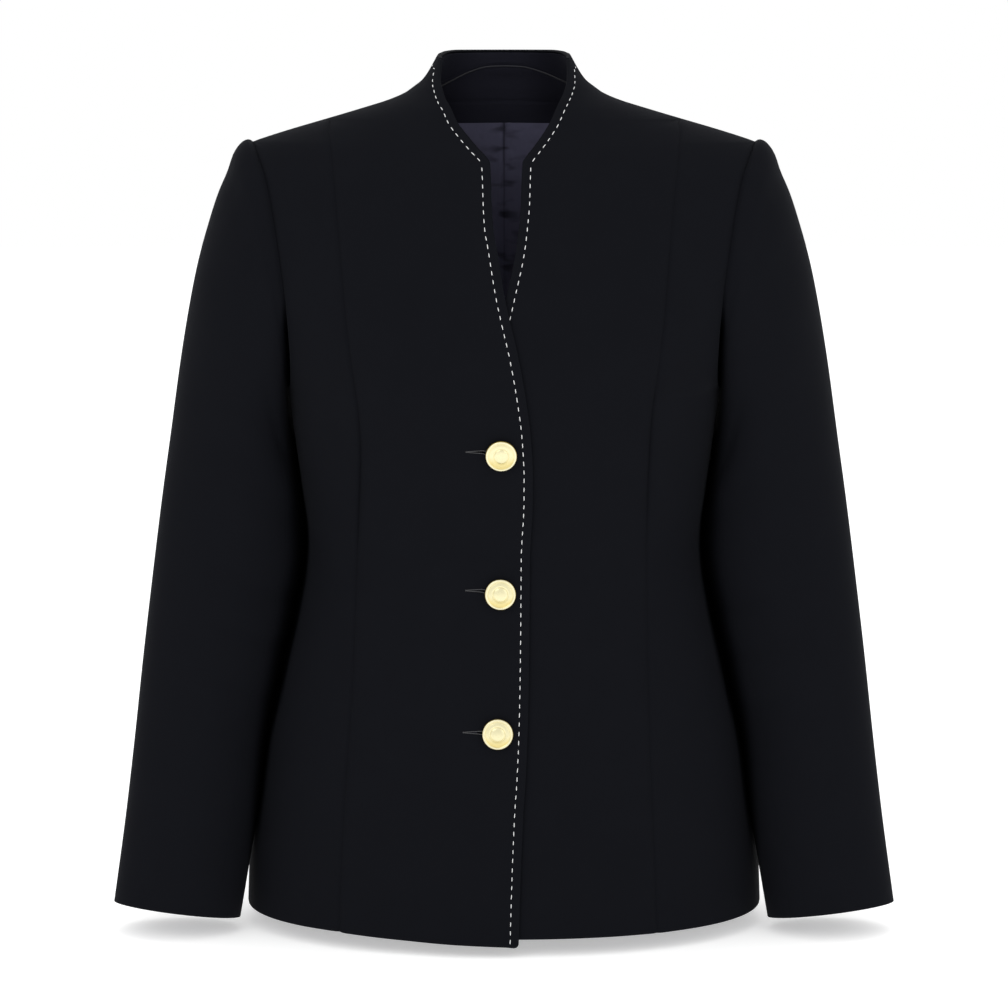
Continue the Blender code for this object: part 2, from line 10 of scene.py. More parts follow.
import bmesh
import bpy
import numpy as np
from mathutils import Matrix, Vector


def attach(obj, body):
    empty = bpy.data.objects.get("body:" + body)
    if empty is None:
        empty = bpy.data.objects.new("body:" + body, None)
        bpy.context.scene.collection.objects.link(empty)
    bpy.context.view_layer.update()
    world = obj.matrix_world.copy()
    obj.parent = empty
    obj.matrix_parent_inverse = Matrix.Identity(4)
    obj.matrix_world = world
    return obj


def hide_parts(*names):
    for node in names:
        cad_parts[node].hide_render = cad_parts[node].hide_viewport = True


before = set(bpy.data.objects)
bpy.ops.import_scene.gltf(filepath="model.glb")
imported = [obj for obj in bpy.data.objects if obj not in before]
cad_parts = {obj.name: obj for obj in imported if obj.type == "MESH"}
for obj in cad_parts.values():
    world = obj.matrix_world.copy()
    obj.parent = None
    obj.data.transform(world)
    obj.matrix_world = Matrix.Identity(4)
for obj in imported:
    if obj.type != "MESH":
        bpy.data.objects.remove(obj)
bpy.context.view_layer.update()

bl_info = {
    "name": "Suit jacket",
    "version": (1, 0, 0),
    "blender": (4, 5, 0),
    "location": "3D View > Sidebar > Suit jacket",
    "description": "Builds a tailored suit jacket with its sewing, lining, buttons and studio",
    "category": "Object",
}

MM = 0.001
SATIN_PITCH = 0.00042  # m, from one float of the satin to the next
PURL_PITCH = 0.0009  # m, from one buttonhole stitch to the next
RIGHT, LEFT = -1, 1  # sides of the wearer, and the sign of X there
BODY = "root"

# ---------------------------------------------------------------- the jacket's own sizes
CLOTH = 2.0  # thickness of the wool walls
FACING = 1.2
LINING = 1.0
SEAM_OVERLAP = 0.08  # degrees of turn by which two pieces pass each other in a seam
NECK_OVERLAP = 0.15  # the same in the level seams round the neck
LAYER_GAP = 1.2  # between the wool and the layer inside it
LAP_GAP = 0.8  # between the two fronts
LAP_START = (75.0, 140.0)  # the top front lifts between these depths below the neck
LAP_FADE = (12.0, 60.0)  # and comes down again between these distances past the left edge

HEM = -621.0
UNDERARM = -221.0
SHOULDER_TIP = -36.0
NECK_SEAM = 0.0
COLLAR_BASE = -10.0  # above this the levels rise with the collar's edge
COLLAR_TOP = 33.0
LAP_DROP = 6.0  # the top front's edge hangs this much lower at the hem
LAP_DROP_HEIGHT = 60.0  # fading out over this height
HEM_CORNER = 3.5  # radius of the top front's lower corner
LINING_TOP = -21.6
LINING_HEM = -596.0
WOOL_HEM = 26.0  # the wool is turned up this far inside hem and cuffs
FRONT_FACING = 72.0  # width of the wool facing inside each front
SHOULDER_FACING = -60.0  # above this the whole inside of a front is wool
FACING_START = 94.0  # degrees of turn at which the neck facing and the inner collar begin
COLLAR_FACING_START = 72.5

BUTTON_RADIUS = 11.5
BUTTON_GAP = 0.4  # between a button's back and the cloth
SHANK_RADIUS = 1.4
BUTTON_HEIGHTS = {"top": -258.9, "middle": -364.0, "bottom": -467.3}
BUTTON_ACROSS = {"top": 2.0, "middle": 2.6, "bottom": 4.6}  # to the wearer's right
BUTTONHOLE_WIDTH = 3.8  # at the shank; the slot narrows to the tip's width
BUTTONHOLE_TIP = 0.5
BUTTONHOLE_LENGTH = 27.0
BUTTONHOLE_EASE = 2.2  # how far the slot passes the shank's middle
CUTTER_DEPTH = 12.0
BUTTONHOLE_RISE = {"top": 2.3, "middle": 2.6, "bottom": 1.0}  # how much higher the slot's tip is

PRINCESS_TOP = -18.6
PRINCESS_TIP_TURN = 88.7  # degrees, the side front's point on the shoulder
SLEEVE_LENGTH = 598.0
CAP_FADE = 130.0  # the armhole's line blends into the sleeve's rings over this length
BODY_CLEARANCE = 0.8  # the sleeve keeps this far off the body, from this far along it
BODY_CLEARANCE_FADE = 25.0
BODY_DEPTH_SHARE = 0.95  # and only within this share of the body's depth
SLEEVE_TUCK = (1.1, 0.7)  # how far the sleeve's end passes under the body's edge: in, and back
NECK_CORD_DROP = 3.0  # the cord hangs lower on the wearer's right
INNER_COLLAR_SHADE = 0.32  # the inside darkens towards the collar's top, which the room reaches
COLLAR_CORNER_SHADE = 0.34  # and towards the sides of the neck
SLEEVE_SEAM_SHARE = 0.05  # the sleeve's long seams are pressed flat
BODY_SHADE_SHARE = 0.3  # of the reach of the sleeve's shade
FRONT_SEAM_ANGLE = 132.2  # degrees round the armhole, where the sleeve's two seams meet it
BACK_SEAM_ANGLE = 243.2

# The studio, in metres and degrees.
LAMPS = (
    # name, place, aim, size, share of the lamp power
    ("key", (-1.3, -2.2, 1.4), (0, 0, -0.25), 1.6, 1.0),
    ("fill", (1.6, -2.0, 0.6), (0, 0, -0.3), 1.6, 0.55),
    ("overhead", (0, 0.5, 2.4), (0, 0, -0.6), 2.4, 1.1),
)
EYE = (0, -2.5, 0.030)
EYE_TILT = 82.2
LENS, SENSOR = 117.5, 36  # mm
CLIP_END = 60
FAR = 1e9  # no limit to a number in the panel


def table(columns, *rows):
    """Named columns over rising heights (or lengths) in the first column."""
    values = np.array(sorted(rows), float)
    return dict(zip(columns.split(), values.T))


TORSO = table(  # rounded boxes round the body: half width, depths before and behind
    "height half_width front_depth back_depth squareness",
    (33, 47.5, 38, 50, 2.0),
    (28, 50.6, 40, 52, 2.0),
    (20, 55, 43, 55.5, 2.0),
    (11, 61.1, 46.5, 60, 2.0),
    (5, 68.1, 49, 62.5, 2.0),
    (0, 76, 51, 65, 2.0),
    (-5, 88, 53, 67.5, 2.0),
    (-10, 104, 55.5, 70, 2.0),
    (-18, 131, 59.5, 74, 2.0),
    (-27, 162, 64.5, 78, 2.0),
    (-33, 181, 68, 80.5, 2.03),
    (-36, 189.5, 70, 82, 2.05),
    (-41, 197, 73.5, 84.3, 2.07),
    (-48, 203, 77.8, 87, 2.1),
    (-60, 208, 84.3, 90.5, 2.15),
    (-80, 209, 93, 95, 2.18),
    (-100, 206, 101, 99.5, 2.2),
    (-125, 200, 109.5, 104, 2.27),
    (-150, 191, 117, 107, 2.3),
    (-175, 179.5, 123, 108.3, 2.37),
    (-205, 169, 127, 107, 2.4),
    (-221, 164.5, 127.5, 105.5, 2.4),
    (-250, 160.5, 125, 101, 2.35),
    (-300, 154.8, 115, 92.5, 2.25),
    (-336, 152.5, 110, 89, 2.2),
    (-384, 161, 111.5, 94, 2.2),
    (-430, 173, 115, 102, 2.2),
    (-489, 185, 120, 111, 2.2),
    (-548, 193, 124.5, 117, 2.2),
    (-590, 197.5, 127, 120, 2.2),
    (-628, 199, 128.5, 122, 2.2),
)
COLLAR_EDGE = table(  # the collar's top edge round the neck
    "turn height",
    (40, 17), (58, 23.5), (75, 26.9), (90, 29.2), (110, 31.6), (130, 32.4), (180, 32.5),
)
FRONT_EDGE = table(  # how far each front's edge lies on its own side of the centre
    "height right left",
    (24, 47.8, 48.6), (12.5, 48.2, 47.8), (4.5, 46.2, 45.6), (-2.8, 43.4, 42.2), (-9.3, 39.5, 38.9),
    (-19.4, 34.7, 34.3), (-26.3, 29.4, 30.0), (-31.7, 25.0, 26.3), (-38.9, 18.6, 20.8),
    (-44.6, 12.9, 16.2), (-49.0, 10.2, 13.6), (-59.6, 9.5, 12.9), (-79.6, 8.8, 12.2),
    (-94.6, 7.9, 10.8), (-111.7, 5.1, 8.7), (-145, -0.4, 1.5), (-164, -4.6, -3.0),
    (-185.7, -9.8, -8.5), (-214.6, -15.2, -13.5), (-245.4, -19.3, -18.0), (-276, -20.9, -20.0),
    (-293, -20.9, -20.5), (-339, -18.9, -20.0), (-391, -18.6, -20.0), (-453, -17.7, -20.0),
    (-502, -15.9, -20.0), (-524, -14.4, -20.0), (-600, -11.4, -20.0), (-621, -10.8, -20.0),
)
NOTCH = -50.0
PRINCESS = table(  # how far out each princess seam lies
    "height right left",
    (-18.6, 131.5, 131.5), (-50, 126.8, 128.6), (-84, 123.3, 124.4), (-127, 119.2, 120.5),
    (-161, 116.1, 117.7), (-201, 111.1, 113.0), (-232, 106.9, 108.8), (-259, 105.8, 107.4),
    (-296, 107.3, 106.5), (-333, 109.3, 106.3), (-377, 110.9, 106.5), (-440, 113.2, 107.4),
    (-492, 117.0, 109.0), (-546, 120.6, 111.4), (-621, 123.5, 114.5),
)
PRINCESS_SHADE = table(  # how dark the seam's groove is, most where the bust runs into the waist
    "depth right left",
    (60, 0.0, 0.0), (90, 0.04, 0.02), (130, 0.06, 0.10), (165, 0.07, 0.10), (195, 0.09, 0.05),
    (222, 0.20, 0.24), (255, 0.34, 0.34), (290, 0.42, 0.30), (320, 0.32, 0.16), (345, 0.12, 0.06),
    (400, 0.07, 0.04), (620, 0.05, 0.03),
)
ARMHOLE = table(  # how far out the armhole lies, in the front and in the back
    "height front back",
    (-36, 189.5, 189.5), (-38, 187.8, 188.4), (-43, 185.2, 186.6), (-50, 182.0, 184.6),
    (-62, 177.2, 181.8), (-80, 173.0, 178.6), (-100, 169.4, 175.6), (-125, 165.6, 172.2),
    (-150, 162.6, 169.2), (-175, 160.8, 166.4), (-195, 160.2, 164.2), (-210, 160.6, 162.8),
    (-217, 161.6, 163.0), (-221, 164.5, 164.5),
)
BESIDE_ARMHOLE = table(  # the level at the princess or centre back seam of a row at the armhole
    "armhole seam",
    (-36, -36), (-39, -49), (-49, -64), (-62, -80), (-80, -96), (-100, -112), (-122, -128),
    (-146, -144), (-170, -160), (-190, -176), (-206, -191), (-217, -206), (-221, -221),
)
SLEEVE = table(  # rings by their outer and inner ends, depth and lean in degrees
    "along outer_out outer_up inner_out inner_up forward half_depth lean",
    (0, 189.5, -36, 164.5, -221, 6, 61, 0),
    (4, 193.3, -34.4, 165.2, -222.3, 6, 61.6, 0),
    (8, 197.2, -35.9, 165.6, -223.6, 6, 62.2, 0),
    (13, 201, -39.5, 165.8, -225.4, 6, 62.8, 0),
    (20, 204.6, -45.5, 165.8, -228, 6, 63.4, 0),
    (32, 208.6, -57, 165.4, -233, 5.5, 63.8, 0),
    (50, 216, -74, 164, -242, 5, 63.6, 0),
    (75, 223.8, -97.5, 161, -256, 4, 62.4, 0),
    (105, 232, -126.5, 157, -274, 3, 60.8, 0),
    (140, 239.2, -160.5, 152.5, -296, 2, 59, 0),
    (185, 246.9, -205, 147, -325, 1.5, 57, 0.5),
    (235, 254.1, -254.5, 147, -358, 3, 55, 2),
    (290, 261.7, -309, 154, -398, 7, 52.5, 5),
    (350, 269, -368, 166, -444, 14, 49.5, 7.5),
    (410, 275.9, -427.5, 180, -489, 22, 46.5, 8.5),
    (470, 282.2, -487, 186.5, -533, 30.5, 43.5, 8.5),
    (530, 289, -545.5, 193.6, -576, 38.5, 40.5, 8.5),
    (598, 298, -612, 201.8, -624.7, 47.5, 37.5, 8.5),
)
# Painted shade: where sleeve and body meet, the crease is painted black over this distance,
# standing in for the shadow there.
PAINTED_CREASE_REACH = table(
    "depth reach",
    (150, 1.5), (175, 5), (250, 8), (293, 11), (320, 15), (400, 15), (480, 13), (560, 10), (612, 4),
)
COLLAR_FACING_SEAM = table(
    "turn height",
    (90, 1), (110, 6), (130, 12.5), (150, 19), (165, 21.8), (180, 22.3),
)

# ---------------------------------------------------------------- soft forms of the cloth
# Sleeve creases: round the sleeve (0 at the outer end, 90 in front) and along it, from one end to
# the other, with half width and depth in mm. A ridge has a negative depth.
SLEEVE_CREASES = (
    # angle, along, angle, along, half width, depth
    (96, 300, 176, 262, 9, 1.6), (84, 345, 170, 318, 8, 1.3), (100, 384, 168, 372, 10, 1.0),
    (262, 250, 196, 282, 10, 1.4), (276, 318, 204, 330, 9, 1.1), (286, 392, 212, 372, 12, 0.9),
    (300, 92, 258, 150, 13, 1.2), (246, 60, 216, 110, 9, 1.2), (118, 84, 146, 150, 10, 1.0),
    (318, 470, 262, 500, 16, 0.8), (60, 500, 110, 470, 16, -0.6), (20, 210, 50, 300, 22, 0.5),
)
# Creases of the backs, side fronts and linings: out from the centre and height, in the same way.
BACK_CREASES = (
    # out, height, out, height, half width, depth
    (30, -318, 118, -332, 9, 1.1), (52, -352, 132, -346, 10, 0.9), (138, -232, 96, -292, 12, 1.2),
    (120, -150, 84, -120, 16, -0.7), (70, -560, 62, -618, 16, 1.2),
    (128, -540, 134, -618, 18, -1.0),
)
SIDE_CREASES = (
    (140, -262, 112, -300, 12, 0.7), (146, -330, 118, -340, 10, 0.6),
    (136, -560, 140, -618, 16, 0.6),
)
LINING_PUCKERS = (
    # out, height, out, height, half width, depth
    (-16, -72, -3, -78, 2.4, 0.9), (-20, -84, -3, -90, 2.4, 1.1), (-19, -97, -3, -101, 2.2, 0.9),
    (-18, -110, -3, -117, 2.6, 1.1), (-16, -128, -3, -133, 2.4, 0.9),
    (-14, -144, -3, -150, 2.4, 0.9), (2, -50, 20, -53, 2.2, 1.1), (3, -64, 17, -71, 2.6, 0.7),
    (3, -92, 15, -100, 2.6, 0.8), (3, -120, 13, -126, 2.4, 0.7), (-26, -36, -6, -42, 3.0, 0.6),
    (6, -36, 10, -92, 3.4, 0.8), (-60, -60, -44, -140, 9, 1.0), (48, -58, 66, -150, 10, 0.9),
    (-36, -300, -50, -420, 12, 1.0), (34, -340, 44, -520, 12, 1.0),
)

# Radii of a button and heights above its back, from the middle of its face round to its shank.
BUTTON_PROFILE = (
    (0.0, 4.72), (1.2, 4.70), (2.4, 4.62), (3.5, 4.48), (4.4, 4.27), (4.9, 4.08), (5.2, 3.84),
    (5.45, 3.66), (5.75, 3.7), (6.1, 3.86), (6.6, 3.88), (7.6, 3.72), (8.8, 3.5), (9.15, 3.36),
    (9.4, 3.4), (9.7, 3.62), (10.2, 3.74), (10.8, 3.62), (11.25, 3.2), (11.5, 2.5), (11.45, 1.7),
    (11.0, 0.8), (10.2, 0.25), (8.6, 0.0), (SHANK_RADIUS, 0.0), (SHANK_RADIUS, -2.9), (0.0, -2.9),
)


# ---------------------------------------------------------------- reading the tables
def smooth_curve(xs, ys):
    """A smooth curve through a table's rows that never overshoots them, as a function of arrays."""
    steps = np.diff(xs)
    slopes = np.diff(ys) / steps
    tangents = np.zeros(len(xs))
    tangents[0], tangents[-1] = slopes[0], slopes[-1]
    for i in range(1, len(xs) - 1):
        before, after = slopes[i - 1], slopes[i]
        if before * after > 0:
            heavy = 2 * steps[i] + steps[i - 1]
            light = steps[i] + 2 * steps[i - 1]
            tangents[i] = (heavy + light) / (heavy / before + light / after)

    def curve(at):
        at = np.clip(np.asarray(at, float), xs[0], xs[-1])
        low = np.clip(np.searchsorted(xs, at) - 1, 0, len(xs) - 2)
        t = (at - xs[low]) / steps[low]
        first, second = tangents[low] * steps[low], tangents[low + 1] * steps[low]
        from_low = (1 + 2 * t) * (1 - t) ** 2 * ys[low] + t * (1 - t) ** 2 * first
        return from_low + t * t * (3 - 2 * t) * ys[low + 1] + t * t * (t - 1) * second

    return curve


def curves(values, key):
    return {column: smooth_curve(values[key], values[column]) for column in values if column != key}


TORSO_AT = curves(TORSO, "height")
COLLAR_EDGE_AT = curves(COLLAR_EDGE, "turn")["height"]
FRONT_EDGE_AT = curves(FRONT_EDGE, "height")
PRINCESS_AT = curves(PRINCESS, "height")
ARMHOLE_AT = curves(ARMHOLE, "height")
BESIDE_ARMHOLE_AT = curves(BESIDE_ARMHOLE, "armhole")["seam"]
SLEEVE_AT = curves(SLEEVE, "along")
FACING_SEAM_AT = curves(COLLAR_FACING_SEAM, "turn")["height"]
PAINTED_CREASE_REACH_AT = curves(PAINTED_CREASE_REACH, "depth")["reach"]
PRINCESS_SHADE_AT = curves(PRINCESS_SHADE, "depth")


def ease(value, start, end):
    """0 before start, 1 after end, smooth between."""
    t = np.clip((np.asarray(value, float) - start) / (end - start), 0.0, 1.0)
    return t * t * (3 - 2 * t)


def bell(value, width, middle=0.0):
    """1 at the middle, and nearly 0 from two widths away."""
    return np.exp(-(((value - middle) / width) ** 2))


def lengths(points):
    return np.linalg.norm(points, axis=-1, keepdims=True)


def run_along(points):
    """How far each point of a row, or of every row of a grid, is from the row's start."""
    steps = np.linalg.norm(np.diff(points, axis=-2), axis=-1)
    return np.concatenate([np.zeros((*steps.shape[:-1], 1)), np.cumsum(steps, axis=-1)], axis=-1)


# ---------------------------------------------------------------- the torso form
def ring(height):
    return [TORSO_AT[c](height) for c in ("half_width", "front_depth", "back_depth", "squareness")]


def level_height(level, turn):
    """The real height of a level: level below the neck, rising with the collar edge above it."""
    level = np.asarray(level, float)
    edge = COLLAR_EDGE_AT(np.abs(turn))
    raised = COLLAR_BASE + (level - COLLAR_BASE) / (COLLAR_TOP - COLLAR_BASE) * (edge - COLLAR_BASE)
    return np.where(level <= COLLAR_BASE, level, raised)


def turn_at(across, height, back=False):
    half_width, _, _, squareness = ring(height)
    share = np.minimum(np.abs(across) / half_width, 1.0) ** (squareness / 2)
    turn = np.degrees(np.arcsin(share)) * np.where(np.asarray(across) >= 0, 1, -1)
    return 180 - turn if back else turn


def form_points(side, turn, height):
    """Points of the form at real heights. Turns below 0 lie past centre front."""
    half_width, front_depth, back_depth, squareness = ring(height)
    angle = np.radians(turn)
    sine, cosine = np.sin(angle), np.cos(angle)
    across = side * half_width * np.sign(sine) * np.abs(sine) ** (2 / squareness)
    depth = np.where(cosine > 0, -front_depth, back_depth)
    return np.stack([across, depth * np.abs(cosine) ** (2 / squareness), height], axis=-1)


def torso_points(side, turn, level):
    """Points of the form at levels, which rise with the collar's edge."""
    return form_points(side, turn, level_height(level, turn))


def torso_reach(points):
    """Below 1 inside the torso's ring at that height, above 1 outside."""
    half_width, front_depth, back_depth, squareness = ring(points[..., 2])
    depth = np.where(points[..., 1] < 0, front_depth, back_depth)
    across, along = np.abs(points[..., 0] / half_width), np.abs(points[..., 1] / depth)
    return across**squareness + along**squareness


def outward(points, step=0.5):
    """The torso's unit normals at points on it."""
    slope = [torso_reach(points + away) - torso_reach(points - away) for away in step * np.eye(3)]
    slope = np.stack(slope, axis=-1)
    return slope / lengths(slope)


def arc(share, squareness):
    """How far a rounded outline reaches one way, at a share of its reach the other way."""
    return (1 - share**squareness) ** (1 / squareness)


def on_front(across, height):
    """The point of the torso's front at a signed distance from the centre, and a height."""
    half_width, front_depth, _, squareness = ring(height)
    share = np.minimum(np.abs(across) / half_width, 1.0)
    depth = front_depth * arc(share, squareness)
    return np.stack([across + 0 * depth, -depth, height + 0 * depth], axis=-1)


def side_turn(at, back=False):
    """Where a front or back ends: at the side seam, the armhole or the shoulder seam."""
    if UNDERARM < at < SHOULDER_TIP:
        return float(turn_at(ARMHOLE_AT["back" if back else "front"](at), at, back))
    return 90.0


def side_word(side):
    return "right" if side == RIGHT else "left"


def princess_turn(side, at):
    if at >= PRINCESS_TOP:
        return 90.0
    return float(turn_at(PRINCESS_AT[side_word(side)](at), at))


def front_edge_turn(side, at):
    """The cut edge of a front. On the collar it is solved, because the levels slope there."""
    turn = 45.0
    for _ in range(12):
        height = level_height(at, turn)
        across = FRONT_EDGE_AT[side_word(side)](height)
        corner = HEM + HEM_CORNER - height
        if side == RIGHT and corner > 0:
            across = across + HEM_CORNER - math.sqrt(max(HEM_CORNER**2 - corner**2, 0))
        turn = float(turn_at(across, height))
    return turn


def lap_lift(points):
    """How far the right front stands off the torso's form, to lie on the left front."""
    under_edge = np.maximum(-FRONT_EDGE_AT["left"](points[..., 2]), 0)
    near = ease(points[..., 0], -under_edge - LAP_FADE[1], -under_edge - LAP_FADE[0])
    return (CLOTH + LAP_GAP) * near * ease(-points[..., 2], *LAP_START)


def lap_drop(height):
    """How much lower than the form the right front's edge hangs."""
    return LAP_DROP * ease(HEM + LAP_DROP_HEIGHT - height, 0, LAP_DROP_HEIGHT)


def dipped(d, groove):
    """A sewn seam pulls the cloth in beside it, and its turnings raise a soft ridge further out."""
    return -groove * bell(d, 1.7) + 0.28 * groove * bell(d, 3.4, 6.5)


def creased(first, second, creases):
    """Depth of the soft troughs at places given by two coordinates."""
    depth = np.zeros(np.broadcast(first, second).shape)
    for a, b, c, d, half_width, deep in creases:
        run = np.array([c - a, d - b], float)
        size = np.linalg.norm(run)
        share = np.clip(((first - a) * run[0] + (second - b) * run[1]) / size**2, 0, 1)
        away = np.hypot(first - a - share * run[0], second - b - share * run[1])
        ends = np.sin(np.pi * np.clip(0.06 + 0.88 * share, 0, 1)) ** 0.7
        depth -= deep * ends * bell(away, half_width)
    return depth


def by_height(column):
    """A column of the sleeve's table against the height of that end of its rings."""
    end = "inner_up" if column.startswith("inner") else "outer_up"
    heights = SLEEVE[end][1:]
    return smooth_curve(heights[::-1], SLEEVE[column][1:][::-1])


SLEEVE_OUTER, SLEEVE_INNER = by_height("outer_out"), by_height("inner_out")
SLEEVE_FORWARD, SLEEVE_DEPTH = by_height("forward"), by_height("half_depth")


def painted_crease_shade(away, height, share=1.0):
    """Painted crease shade: 1 where sleeve and body touch at this height, 0 far away from there."""
    return np.exp(-((away / (share * PAINTED_CREASE_REACH_AT(-height))) ** 2.6)) * ease(-height, 140, 175)


def shade_beside_sleeve(points):
    """1 where the body lies under or close beside the hanging sleeve, 0 away from it."""
    height = points[..., 2]
    outer, inner = SLEEVE_OUTER(height), SLEEVE_INNER(height)
    across = (np.abs(points[..., 0]) - (outer + inner) / 2) / ((outer - inner) / 2)
    along = (points[..., 1] + SLEEVE_FORWARD(height)) / SLEEVE_DEPTH(height)
    away = np.maximum(np.hypot(across, along) - 1, 0) * (outer - inner) / 2
    return painted_crease_shade(away, height, BODY_SHADE_SHARE)


def shade_beside_body(points):
    """1 where the sleeve touches the body, 0 away from it."""
    half_width, front_depth, back_depth, squareness = ring(points[..., 2])
    depth = np.where(points[..., 1] < 0, front_depth, back_depth)
    share = np.minimum(np.abs(points[..., 1] / depth), 1)
    away = np.maximum(np.abs(points[..., 0]) - half_width * arc(share, squareness), 0)
    return painted_crease_shade(away, points[..., 2])


def groove_shade(side, away, height):
    """Shade in the groove of a princess seam, a dark line with a softer trough around it."""
    line = 0.75 * bell(away, 1.4) + 0.25 * bell(away, 5.0)
    return PRINCESS_SHADE_AT[side_word(side)](-height) * line


# ---------------------------------------------------------------- rows of points
def row_between(side, levels, turns, count, sewn=(1, 1)):
    """A row between two levels and two turns, passing a little into each sewn end.

    Returns the points and how far each is from the row's two ends.
    """
    shares = np.linspace(0, 1, 120)
    turns = turns[0] - sewn[0] * SEAM_OVERLAP, turns[1] + sewn[1] * SEAM_OVERLAP

    def place(share):
        turn = turns[0] + share * (turns[1] - turns[0])
        return torso_points(side, turn, levels[0] + ease(share, 0, 1) * (levels[1] - levels[0]))

    line = place(shares)
    run = run_along(line)
    length = run[-1]
    close = np.array([0, 0.9, 1.9, 3.1, 4.6, 6.4]) * min(1.0, length / 30)
    middle = np.linspace(close[-1], length - close[-1], count - 10)
    distances = np.concatenate([close[:-1], middle, length - close[-2::-1]])
    return place(np.interp(distances, run, shares)), distances, length - distances


class Sheet:
    """The outside of one wall as rows of points, with what its material and inside need."""

    def __init__(self):
        self.points, self.grain, self.start, self.end = [], [], [], []

    def add(self, points, start, end, along):
        self.points.append(points)
        self.start.append(start)
        self.end.append(end)
        across = start - start[-1] / 2
        self.grain.append(np.stack([across, np.full(len(start), along), 0 * start], axis=-1))

    def arrays(self):
        return [np.array(x) for x in (self.points, self.start, self.end, self.grain)]


def body_levels(step=5.0):
    """Level rows from the hem to the underarm, close together at the hem."""
    close = HEM + np.array([0, 0.5, 1.0, 1.7, 2.6, 3.6, 5.0])
    return [(at, at) for at in (*close, *np.arange(HEM + 8, UNDERARM - 2, step))]


def armhole_height(angle):
    """The height at an angle round the armhole, from 0 at the shoulder to 180 at the underarm."""
    middle, half = (SHOULDER_TIP + UNDERARM) / 2, (SHOULDER_TIP - UNDERARM) / 2
    return middle + half * np.cos(np.radians(angle))


def armhole_levels():
    """Rows beside the armhole, from the underarm up: their seam end, then their armhole end."""
    ends = armhole_height(np.array([180, *np.arange(172, 10, -4), 8, 0]))
    return [(float(BESIDE_ARMHOLE_AT(at)), float(at)) for at in ends]


# ---------------------------------------------------------------- meshes
def new_object(name, mesh):
    piece = bpy.data.objects.new(name, mesh)
    bpy.context.scene.collection.objects.link(piece)
    return piece


def baked(piece):
    """Apply the piece's modifiers, so that its mesh is what shows."""
    held = bpy.context.evaluated_depsgraph_get()
    mesh = bpy.data.meshes.new_from_object(piece.evaluated_get(held), depsgraph=held)
    piece.modifiers.clear()
    piece.data = mesh
    mesh.name = piece.name


def smooth_by_angle(mesh, degrees=48):
    mesh.shade_smooth()
    mesh.set_sharp_from_angle(angle=math.radians(degrees))


def set_cloth(mesh, values):
    """A vector at each point, which the materials read as the attribute cloth."""
    held = mesh.attributes.new("cloth", "FLOAT_VECTOR", "POINT")
    held.data.foreach_set("vector", values.astype(np.float32).ravel())


def shell(
    name, points, grain, thickness, materials, inside, outside_left, edge_radius=0.75, cutters=()
):
    """A closed shell of cloth on a grid of points, with rounded edges.

    inside is a grid of material indices for the inner faces, of materials[0] on the outside.
    """
    rows, columns = points.shape[:2]
    mesh = bpy.data.meshes.new(name)
    index = np.arange(rows * columns).reshape(rows, columns)
    faces = np.stack([index[:-1, :-1], index[:-1, 1:], index[1:, 1:], index[1:, :-1]], axis=-1)
    faces = faces.reshape(-1, 4)
    if not outside_left:
        faces = faces[:, ::-1]
    mesh.from_pydata((points.reshape(-1, 3) * MM).tolist(), [], faces.tolist())
    set_cloth(mesh, grain * MM)
    # Slots come in pairs: the outside of a face and, one slot on, its inside.
    for kind in range(len(materials) - 1):
        mesh.materials.append(materials[0])
        mesh.materials.append(materials[kind + 1])
    kinds = np.broadcast_to(inside, (rows - 1, columns - 1)).reshape(-1)
    mesh.polygons.foreach_set("material_index", (kinds * 2).astype(np.int32))
    mesh.shade_smooth()
    piece = new_object(name, mesh)
    layer = piece.modifiers.new("wall", "SOLIDIFY")
    layer.thickness = thickness * MM
    layer.offset = -1
    layer.use_even_offset = False
    layer.material_offset = 1
    layer.material_offset_rim = 0
    if edge_radius:
        edge = piece.modifiers.new("edge", "BEVEL")
        edge.width = min(edge_radius, 0.42 * thickness) * MM
        edge.segments = 2
        edge.limit_method = "ANGLE"
        edge.angle_limit = math.radians(60)
        edge.harden_normals = False
    for cutter in cutters:
        cut = piece.modifiers.new(cutter.name, "BOOLEAN")
        cut.operation = "DIFFERENCE"
        cut.solver = "EXACT"
        cut.object = cutter
    baked(piece)
    for cutter in cutters:
        bpy.data.objects.remove(cutter)
    smooth_by_angle(piece.data)
    return piece


def swept(path, across, normals, radii, sides, flat):
    """Points and faces of a thin closed rod; flat squeezes it along the normals."""
    vertices, faces = [], []
    for p, b, n, r in zip(path, across, normals, radii):
        for k in range(sides):
            angle = 2 * math.pi * k / sides
            vertices.append(p + r * (math.cos(angle) * b + flat * math.sin(angle) * n))
    for i in range(len(path) - 1):
        for k in range(sides):
            a, b = i * sides + k, i * sides + (k + 1) % sides
            faces.append((a, b, b + sides, a + sides))
    faces.append(tuple(range(sides))[::-1])
    faces.append(tuple((len(path) - 1) * sides + k for k in range(sides)))
    return np.array(vertices), faces


def tube(path, radius):
    """A thin cord that lies on the torso along a path of points."""
    path = np.asarray(path, float)
    tangents = np.gradient(path, axis=0)
    tangents /= lengths(tangents)
    normals = outward(path)
    normals -= (normals * tangents).sum(axis=1, keepdims=True) * tangents
    normals /= lengths(normals)
    radii = np.broadcast_to(np.asarray(radius, float), (len(path),))
    return swept(path, np.cross(tangents, normals), normals, radii, sides=8, flat=0.8)


